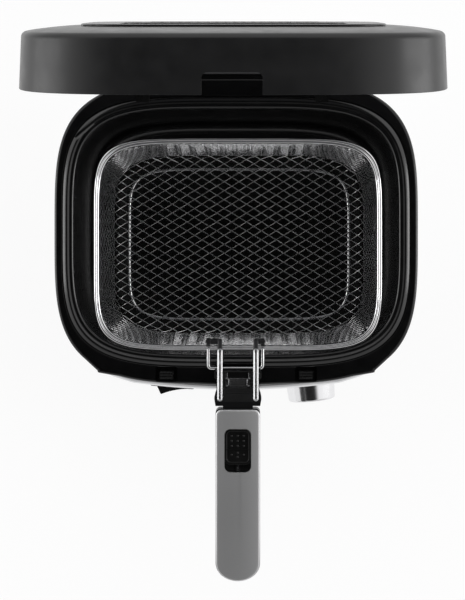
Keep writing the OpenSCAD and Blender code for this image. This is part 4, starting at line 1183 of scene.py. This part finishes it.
grooves = [moved(block(-10.2, 10.2, y, y + 0.7, arm_top - 0.9, arm_top + 1), INCLINE)
           for y in (well_end - 1.7, well_end - 3.6, well_end - 5.5)]
piece("collar", slab(collar_plan, collar_foot, collar_top), BASKET, "handle", "handle_black",
      ["handle_collar"], cuts=[slope_cut] + channels + [well_top, latch_way, hook_way] + grooves,
      soften=0.35)

# %% [markdown]
# The grip is two mouldings. The lower one is black and hollowed for the fingers, the upper one
# is a thin silver cover with a broken edge and a gentle crown, along its length and across it.
# Both share one plan: straight sides, round corners at the collar and a rounded tip. The cover's
# top is skinned with rings that run nearly to its middle line, so that the crown has points to
# bend at.

# %% Grip and cover
cover_top = cover_high.z
cover_foot = cover_low.z
grip_low, grip_high = measured("handle_grip")
grip_foot = grip_low.z
grip_half = grip_high.x - basket_x
neck_y = grip_high.y - middle_y
grip_tip = grip_low.y - middle_y
tip_deep = 14.0


def grip_plan(i, back=0.0, corner=3.4):
    """Plan of the grip drawn in by i, and at its near end by a distance more."""
    half, top, tip = grip_half - i, neck_y - i - back, grip_tip + i
    bend = grip_tip + tip_deep
    soft = max(corner - 0.5 * i, 0.4)
    soft = min(soft, half * 0.9)
    side = np.linspace(top - soft, bend, 26)
    return np.concatenate([
        [(x, top) for x in np.linspace(0, half - soft, 5)[:-1]],
        arc(half - soft, top - soft, soft, 90, 0, 7),
        [(half, y) for y in side[1:-1]],
        [(half * math.cos(t), bend - (bend - tip) * math.sin(t))
         for t in np.linspace(0, math.pi, 41)],
        [(-half, y) for y in side[::-1][1:-1]],
        arc(-half + soft, top - soft, soft, 180, 90, 7),
        [(x, top) for x in np.linspace(-half + soft, 0, 5)[1:-1]],
    ])


cover_inset = 0.2
cover_back = 0.4
crown_fall = 1.3
crown_peak = neck_y - 45


def cover_ring(i, z):
    """Ring of the cover, lowered along its length by the crown."""
    points = at(grip_plan(cover_inset + i, cover_back, 4.4), z)
    if z > cover_foot + 0.2:
        points[:, 2] -= crown_fall * ((points[:, 1] - crown_peak) / (grip_tip - crown_peak)) ** 2
        points[:, 2] -= 0.85 * (points[:, 0] / grip_half) ** 2
    return points


cover_section = [(0.15, cover_foot), (0, cover_foot + 0.15), (0, cover_top - 0.8),
                 (0.25, cover_top - 0.35), (0.7, cover_top - 0.08), (1.3, cover_top)]
cover_section += [(i, cover_top) for i in (3, 5, 7, 9, 11, 13, 14.6)]
button_w, button_len = 20.4, 33.0
button_start = neck_y - 15.3
opening = centred(button_w, button_len, 4.5, button_start - button_len / 2)
hollow_r, hollow_deep = 65.0, 3.0
grip_middle = (neck_y + grip_tip) / 2
hollow = moved(sideways(rod(hollow_r, -25, 25, 160)),
               shift(0, grip_middle, grip_foot - hollow_r + hollow_deep))
grip_section = [(4, grip_foot), (1.8, grip_foot + 0.5), (0.5, grip_foot + 2), (0, grip_foot + 4.5),
                (0, cover_foot - 0.5), (0.3, cover_foot)]
button_well = slab(centred(button_w + 4, button_len + 2, 5.5, button_start - button_len / 2),
                   cover_foot - 4, cover_top + 1)
piece("grip", loft([at(grip_plan(i), z) for i, z in grip_section]), BASKET, "handle",
      "handle_black", ["handle_grip"], cuts=[hollow, button_well], soften=0.2)
piece("silver_cover", loft([cover_ring(i, z) for i, z in cover_section]), BASKET, "handle",
      "handle_silver", ["handle_cover"], cuts=[slab(opening, cover_foot - 1, cover_top + 1)],
      soften=0.4, crease=40)

# %% [markdown]
# ### Button and latch
# The folding button slides 5 mm towards the grip's tip and draws the latch back from the
# bracket's bar. Its face is sunk inside a narrow border and has rows of raised dots and a ridge,
# which the thumb finds without looking.

# %% Button
slider_half = button_w / 2 - gap
slider_start = button_start - gap
slider_len = button_len - 6
slider_top = cover_top - 0.5
slider_foot = cover_foot - 3.7
slider_end = slider_start - slider_len
slider = slab(rounded(-slider_half, slider_half, slider_end, slider_start, 4.2), slider_foot,
              slider_top)
slider_hollow = slab(rounded(-slider_half + 1.5, slider_half - 1.5, slider_end + 2,
                             slider_start - 1.5, 3.0),
                     slider_top - 0.7, slider_top + 1)
dot = [(0.85, slider_top - 0.9), (0.85, slider_top - 0.4), (0.7, slider_top - 0.15),
       (0.35, slider_top)]
dot_step = 4.6
dot_spots = [(x, 5 + 3.8 * row) for row in range(3) for x in (-dot_step, 0, dot_step)]
dot_spots += [(-dot_step, 19.3), (dot_step, 19.3), (0, 17.9), (0, 21)]
dots = [moved(turned(dot, 16), shift(x, slider_start - down, 0)) for x, down in dot_spots]
ridge_bar = block(-slider_half + 1, slider_half - 1, slider_start - 15.9, slider_start - 14.9,
                  slider_top - 1, slider_top - 0.1)
piece("button", slider, BASKET, "button", "button_black", ["handle_button"], cuts=[slider_hollow],
      soften=0.3)
piece("button_dots", joined(dots + [ridge_bar]), BASKET, "button", "button_black", crease=50)

# %% Latch
latch_low, latch_high = measured("latch_hooks")
latch_end = latch_low.y - middle_y
latch_start = collar_start - 6
strip_z, strip_h = latch_z + 3.4, 4.2
plate = block(-10, 10, latch_end, latch_start, latch_z, latch_z + latch_t)
post = block(-7, 7, latch_end, latch_end + 3, latch_z, slider_foot)


def hook(side):
    """Bright strip bent to a J, and the finger and its tip that catch the bracket's bar."""
    path = np.concatenate([
        [(9.6, latch_start - 0.2), (8.2, latch_start - 0.2)],
        arc(8.2, latch_start - 1.2, 1, 100, 180, 5),
        [(7.2, latch_start - 3), (7.2, latch_start - 4.6)],
        arc(8.4, latch_start - 4.8, 1.2, 180, 300, 8),
    ])
    strip = wire(at(path, strip_z) * (side, 1, 1), 0.42, 10)
    strip[0][:, 2] = strip_z + (strip[0][:, 2] - strip_z) * strip_h
    tip_y = latch_high.y - middle_y
    finger = block(8.1, 9.9, latch_start - 2, tip_y, latch_z, latch_z + latch_t)
    tip = block(8.1, 9.9, tip_y - 1.8, tip_y, latch_z, latch_z + 4)
    handed = Matrix.Scale(side, 4, (1, 0, 0))
    return [strip, moved(finger, handed), moved(tip, handed)]


piece("latch", joined([plate, post] + hook(-1) + hook(1)), BASKET, "button", "pin_steel",
      ["latch_hooks"], soften=0.15, crease=45)

# %% [markdown]
# ## The lid
# The lid is drawn shut. Its outer moulding has a wall with a little draft, a soft shoulder and a
# low crown that rises quickly near the edge and then flattens. The crown ends at the opening for
# the window's frame, and the same section comes back underneath, one wall's thickness in. The
# squareness of the rings changes from the body's to the opening's on the way.

# %% Section of the lid
lid_a, lid_b = half_w - 1.5, half_d - 1.5
lid_foot = rim_z + 0.5
lid_top = lid_foot + 36
lid_t = 2.8
draft = 2.1
shoulder = 4.0
hole_a, hole_b, hole_n = 94.0, 62.0, 5.0
crown_h, crown_soft = 4.0, 28.0
crown_start = 9.0
lid_points = 360


def crown(i):
    """Rise of the crown at distance i in from the wall."""
    return crown_h * (1 - math.exp(-i / crown_soft))


def crown_ring(share, down):
    """Ring of the crown, from its start at share 0 to the window's opening at share 1."""
    start_a, start_b = lid_a - crown_start, lid_b - crown_start
    inward = crown_start + share * (start_b - hole_b)
    return ring(start_a + share * (hole_a - start_a), start_b + share * (hole_b - start_b),
                body_n + share * (hole_n - body_n), lid_top + crown(inward) - down,
                count=lid_points)


shares = (0, 0.12, 0.26, 0.42, 0.6, 0.8, 1)
wall_h = lid_top - shoulder - lid_foot
wall = [(0.5, lid_foot), (0.12, lid_foot + 0.12), (0.03, lid_foot + 0.5)]
wall += [(draft * t, lid_foot + wall_h * t) for t in (0.33, 0.66, 1)]
wall += [*arc(draft + shoulder, lid_top - shoulder + 0.5, shoulder, 168, 97, 8)]
back = [(draft + lid_t + 5, lid_top - lid_t), (draft + lid_t + 1.5, lid_top - lid_t - 2),
        (draft + lid_t, lid_top - lid_t - 5), (lid_t, lid_foot + 0.3), (lid_t - 0.3, lid_foot)]
lid_rings = stack(lid_a, lid_b, body_n, wall, count=lid_points)
lid_rings += [crown_ring(share, 0) for share in shares]
lid_rings += [crown_ring(share, lid_t) for share in reversed(shares)]
lid_rings += stack(lid_a, lid_b, body_n, back, count=lid_points)

# %% Notch, knuckles and screw bosses
notch_w, notch_h = 36.5, 14.0


def notch_cut(wider, higher, radius):
    """Cut through the lid's front wall, wider on each side and higher by what is given."""
    half, top = notch_w / 2 + wider, rim_z + notch_h + higher
    return frontward(slab(rounded(-half, half, rim_z - 20, top, radius), half_d - 22, half_d + 10))


knuckle_section = np.concatenate([arc(0, 0, 3.9, 0, -180, 17), [(-3.9, 7.5), (3.9, 7.5)]])
knuckle_start = -hinge_w / 2 + ear_t + gap
knuckle = sideways(slab(knuckle_section, knuckle_start, knuckle_start + knuckle_w))
knuckle_bore = sideways(rod(2.55, knuckle_start - 1, knuckle_start + knuckle_w + 1, 32))
screw_r = 1.55
screw_spots = [(sx * 112, sy * 66) for sx in (-1, 1) for sy in (-1, 1)]
liner_top = lid_top - 6
boss = hoop(screw_r, 4, liner_top + gap, liner_top + 5.4)
bosses = [moved(boss, shift(x, y, 0)) for x, y in screw_spots]
piece("lid_cover", loft(lid_rings, closed=True), LID, "lid", "lid_black", ["lid_shell"],
      adds=both_hinges(knuckle) + bosses, cuts=[notch_cut(0, 0, 3.8)] + both_hinges(knuckle_bore),
      soften=0.35, crease=38)

# %% [markdown]
# ### Inside the lid
# A steel liner keeps steam off the moulding, and a soft seal runs round its edge. Both have the
# lid's outline, a little smaller. The liner is open under the window and the filter, and both
# stop at the notch.

# %% Liner and seal
liner_a, liner_b = lid_a - lid_t - 2.5, lid_b - lid_t - 2.5
seal_foot, seal_top = flange_top + gap, flange_top + gap + 4
window_w, window_d, window_y = 148.0, 56.0, -20.0
filter_w, filter_d, filter_y = 118.0, 26.0, 38.0
liner_edge, liner_t = 3.0, 1.0
bend_z = liner_top - liner_edge
liner_section = [
    (0, seal_top), (0, bend_z), *arc(liner_edge, bend_z, liner_edge, 165, 95, 6),
    (30, liner_top), (30, liner_top - liner_t),
    *arc(liner_edge, bend_z, liner_edge - liner_t, 95, 165, 6), (liner_t, bend_z),
    (liner_t, seal_top),
]
liner_middle = slab(outline(liner_a - 29.9, liner_b - 29.9, body_n), liner_top - liner_t, liner_top)
wide_notch = notch_cut(4, 3, 4)
window_hole = slab(centred(window_w - 6, window_d - 6, 5, window_y), liner_top - 5, liner_top + 1)
filter_hole = slab(centred(filter_w - 8, filter_d - 8, 3, filter_y), liner_top - 5, liner_top + 1)
screw_hole = rod(screw_r, liner_top - 3, liner_top + 3, 24)
screw_holes = [moved(screw_hole, shift(x, y, 0)) for x, y in screw_spots]
piece("lid_lining", loft(stack(liner_a, liner_b, body_n, liner_section), closed=True), LID, "lid",
      "liner_steel", ["lid_liner"], adds=[liner_middle],
      cuts=[window_hole, filter_hole, wide_notch] + screw_holes, crease=45)

seal_section = [(0, seal_foot + 0.5), (0, seal_top), (3, seal_top), (3, seal_foot + 1.2),
                (2.4, seal_foot + 0.3), (1.5, seal_foot), (0.5, seal_foot + 0.1)]
piece("lid_seal", loft(stack(liner_a, liner_b, body_n, seal_section), closed=True), LID, "lid",
      "gasket_rubber", ["lid_gasket"], cuts=[wide_notch], crease=60)

# %% [markdown]
# ### Window frame
# A thin frame stands proud of the crown round the window and the filter. Its outline is squarer
# than the lid's, and its edges are broken so that they show as a fine light line.

# %% Window frame
frame_low_z = lid_top + crown(lid_b - hole_b) + gap
frame_t = 1.0
frame_a, frame_b = hole_a + 6, hole_b + 6
frame_section = [(0, frame_low_z), (0, frame_low_z + frame_t - 0.5), (0.5, frame_low_z + frame_t),
                 (8, frame_low_z + frame_t), (8, frame_low_z - 5), (6.3, frame_low_z - 5),
                 (6.3, frame_low_z)]
frame_plate = slab(outline(frame_a - 7.9, frame_b - 7.9, hole_n), frame_low_z,
                   frame_low_z + frame_t)
glass_hole = slab(centred(window_w, window_d, 7, window_y), frame_low_z - 1, frame_low_z + 9)
cover_hole = slab(centred(filter_w, filter_d, 0.6, filter_y), frame_low_z - 9, frame_low_z + 9)
piece("window_surround", loft(stack(frame_a, frame_b, hole_n, frame_section), closed=True), LID,
      "lid", "frame_black", ["window_frame"], adds=[frame_plate], cuts=[glass_hole, cover_hole],
      soften=0.2)

# %% [markdown]
# ## Power inlet
# The lead breaks away from a recessed inlet at the back. It is a moulding with a flange on the
# casing, a round-cornered recess and two holes for the contact pins.

# %% Power inlet
inlet_front, inlet_back = middle_y - inlet_high.y, middle_y - inlet_low.y
pin_x, pin_r = 9, 2.25
inlet_body = centred(inlet_w, inlet_h, 1.8, inlet_z)
inlet_flange = centred(inlet_w + 6, inlet_h + 6, 4, inlet_z)
inlet_recess = centred(inlet_w - 6, inlet_h - 6, 2.5, inlet_z)
pin_hole = frontward(rod(pin_r, inlet_front - 1, inlet_back + 1, 24))
pin_holes = [moved(pin_hole, shift(side * pin_x, 0, inlet_z)) for side in (-1, 1)]
piece("inlet", frontward(slab(inlet_flange, inlet_front, inlet_front + 2)), BODY, "base",
      "black_plastic", ["power_inlet"], adds=[frontward(slab(inlet_body, inlet_front + 1.5,
                                                             inlet_back))],
      cuts=[frontward(slab(inlet_recess, inlet_front - 1, inlet_back - 2.5))] + pin_holes,
      soften=0.3)

# %% [markdown]
# ## Studio
# Glossy black shows nothing but what it reflects, so the light is mostly a matter of what stands
# round the fryer. The surroundings are a white tent that is open at the top: the flat ledges look
# up into the dark opening and stay black, while every rolled edge and wire leans towards the
# white walls and shines. The tent is a gradient in the world. Two soft boxes, left and right, add
# a little direction.

# %% World
scene = bpy.context.scene
scene.view_settings.view_transform = "Standard"
world = bpy.data.worlds.new("tent")
scene.world = world
world.use_nodes = True
sky = world.node_tree


def smooth_step(value, start, end, low, high):
    """Smooth change from low to high as the value goes from start to end."""
    made = add_node(sky, "MapRange", Value=value, From_Min=start, From_Max=end, To_Min=low,
                    To_Max=high)
    made.interpolation_type = "SMOOTHSTEP"
    return made.outputs["Result"]


dark_axis = Vector((-0.10, -0.16, 1)).normalized()
white_beyond, dark_within = (math.cos(math.radians(angle)) for angle in (42, 20))
dark_level, front_level = 0.015, 0.55
direction = add_node(sky, "TexCoord").outputs["Generated"]
towards = add_node(sky, "VectorMath", "DOT_PRODUCT", i0=direction, i1=dark_axis).outputs["Value"]
tent = smooth_step(towards, white_beyond, dark_within, 1.0, dark_level)
parts = add_node(sky, "SeparateXYZ", Vector=direction).outputs
front = smooth_step(parts["Y"], -0.75, -0.15, front_level, 1.0)
level = add_node(sky, "Math", "MULTIPLY", i0=tent, i1=front).outputs["Value"]
sky.links.new(level, sky.nodes["Background"].inputs["Strength"])
sky.nodes["Background"].inputs["Color"].default_value = (1, 1, 1, 1)
print(f"the tent is open for {math.degrees(math.acos(dark_within)):.0f} degrees about its axis")

# %% Soft boxes
aim = BODY @ Vector((0, 0, 150))


def soft_box(name, spot, width, height, watts):
    """Rectangular lamp that faces the fryer."""
    lamp = bpy.data.lights.new(name, "AREA")
    lamp.shape = "RECTANGLE"
    lamp.size, lamp.size_y = width, height
    lamp.energy = watts
    box = bpy.data.objects.new(name, lamp)
    box.location = spot
    box.rotation_mode = "QUATERNION"
    box.rotation_quaternion = (aim - Vector(spot)).to_track_quat("-Z", "Y")
    scene.collection.objects.link(box)


for name, side, watts in (("left_box", -1, 6), ("right_box", 1, 8)):
    soft_box(name, (side * 1.6, 0.1, 0.45), 0.5, 1.6, watts)
print("two soft boxes aim at", tuple(round(value, 3) for value in aim))

# %% [markdown]
# The floor is white where the camera sees it, or sees it mirrored in metal or through glass. It
# mostly glows by itself there and is only a little lit, so that the fryer's shadow stays on it
# but stays faint. To all other light it is plain white paper.

# %% Floor
floor_size = 30.0
floor_mesh = bpy.data.meshes.new("floor")
corners = [(x * floor_size, y * floor_size, 0) for x, y in ((-1, -1), (1, -1), (1, 1), (-1, 1))]
floor_mesh.from_pydata(corners, [], [(0, 1, 2, 3)])
floor = bpy.data.objects.new("floor", floor_mesh)
scene.collection.objects.link(floor)
floor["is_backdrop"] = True

paper = bpy.data.materials.new("paper")
paper.use_nodes = True
tree = paper.node_tree
tree.nodes.clear()
lit_share, glow_share = 0.2, 0.84
diffuse = add_node(tree, "BsdfDiffuse", Color=(0.85, 0.85, 0.85, 1))
faint = add_node(tree, "BsdfDiffuse", Color=(lit_share, lit_share, lit_share, 1))
glow = add_node(tree, "Emission", Strength=glow_share)
seen = add_node(tree, "AddShader", i0=faint.outputs[0], i1=glow.outputs[0])
rays = add_node(tree, "LightPath").outputs
shown = rays["Is Camera Ray"]
for other in ("Is Glossy Ray", "Is Transmission Ray"):
    shown = add_node(tree, "Math", "MAXIMUM", i0=shown, i1=rays[other]).outputs[0]
mix = add_node(tree, "MixShader", i0=shown, i1=diffuse.outputs[0], i2=seen.outputs[0])
add_node(tree, "OutputMaterial", Surface=mix.outputs[0])
floor_mesh.materials.append(paper)

# %% [markdown]
# ## Compare the sizes
# The dressed fryer is meant to fill the same box as the working model, so both boxes are printed
# side by side.

# %% Compare the boxes
dressed_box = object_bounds()
boxes = {"frame": [list(corner) for corner in frame_box], "dressed": [list(corner) for corner in dressed_box]}
for label, (low, high) in boxes.items():
    print(label, "box:", " x ".join(f"{1000 * (high[i] - low[i]):.1f}" for i in range(3)), "mm")
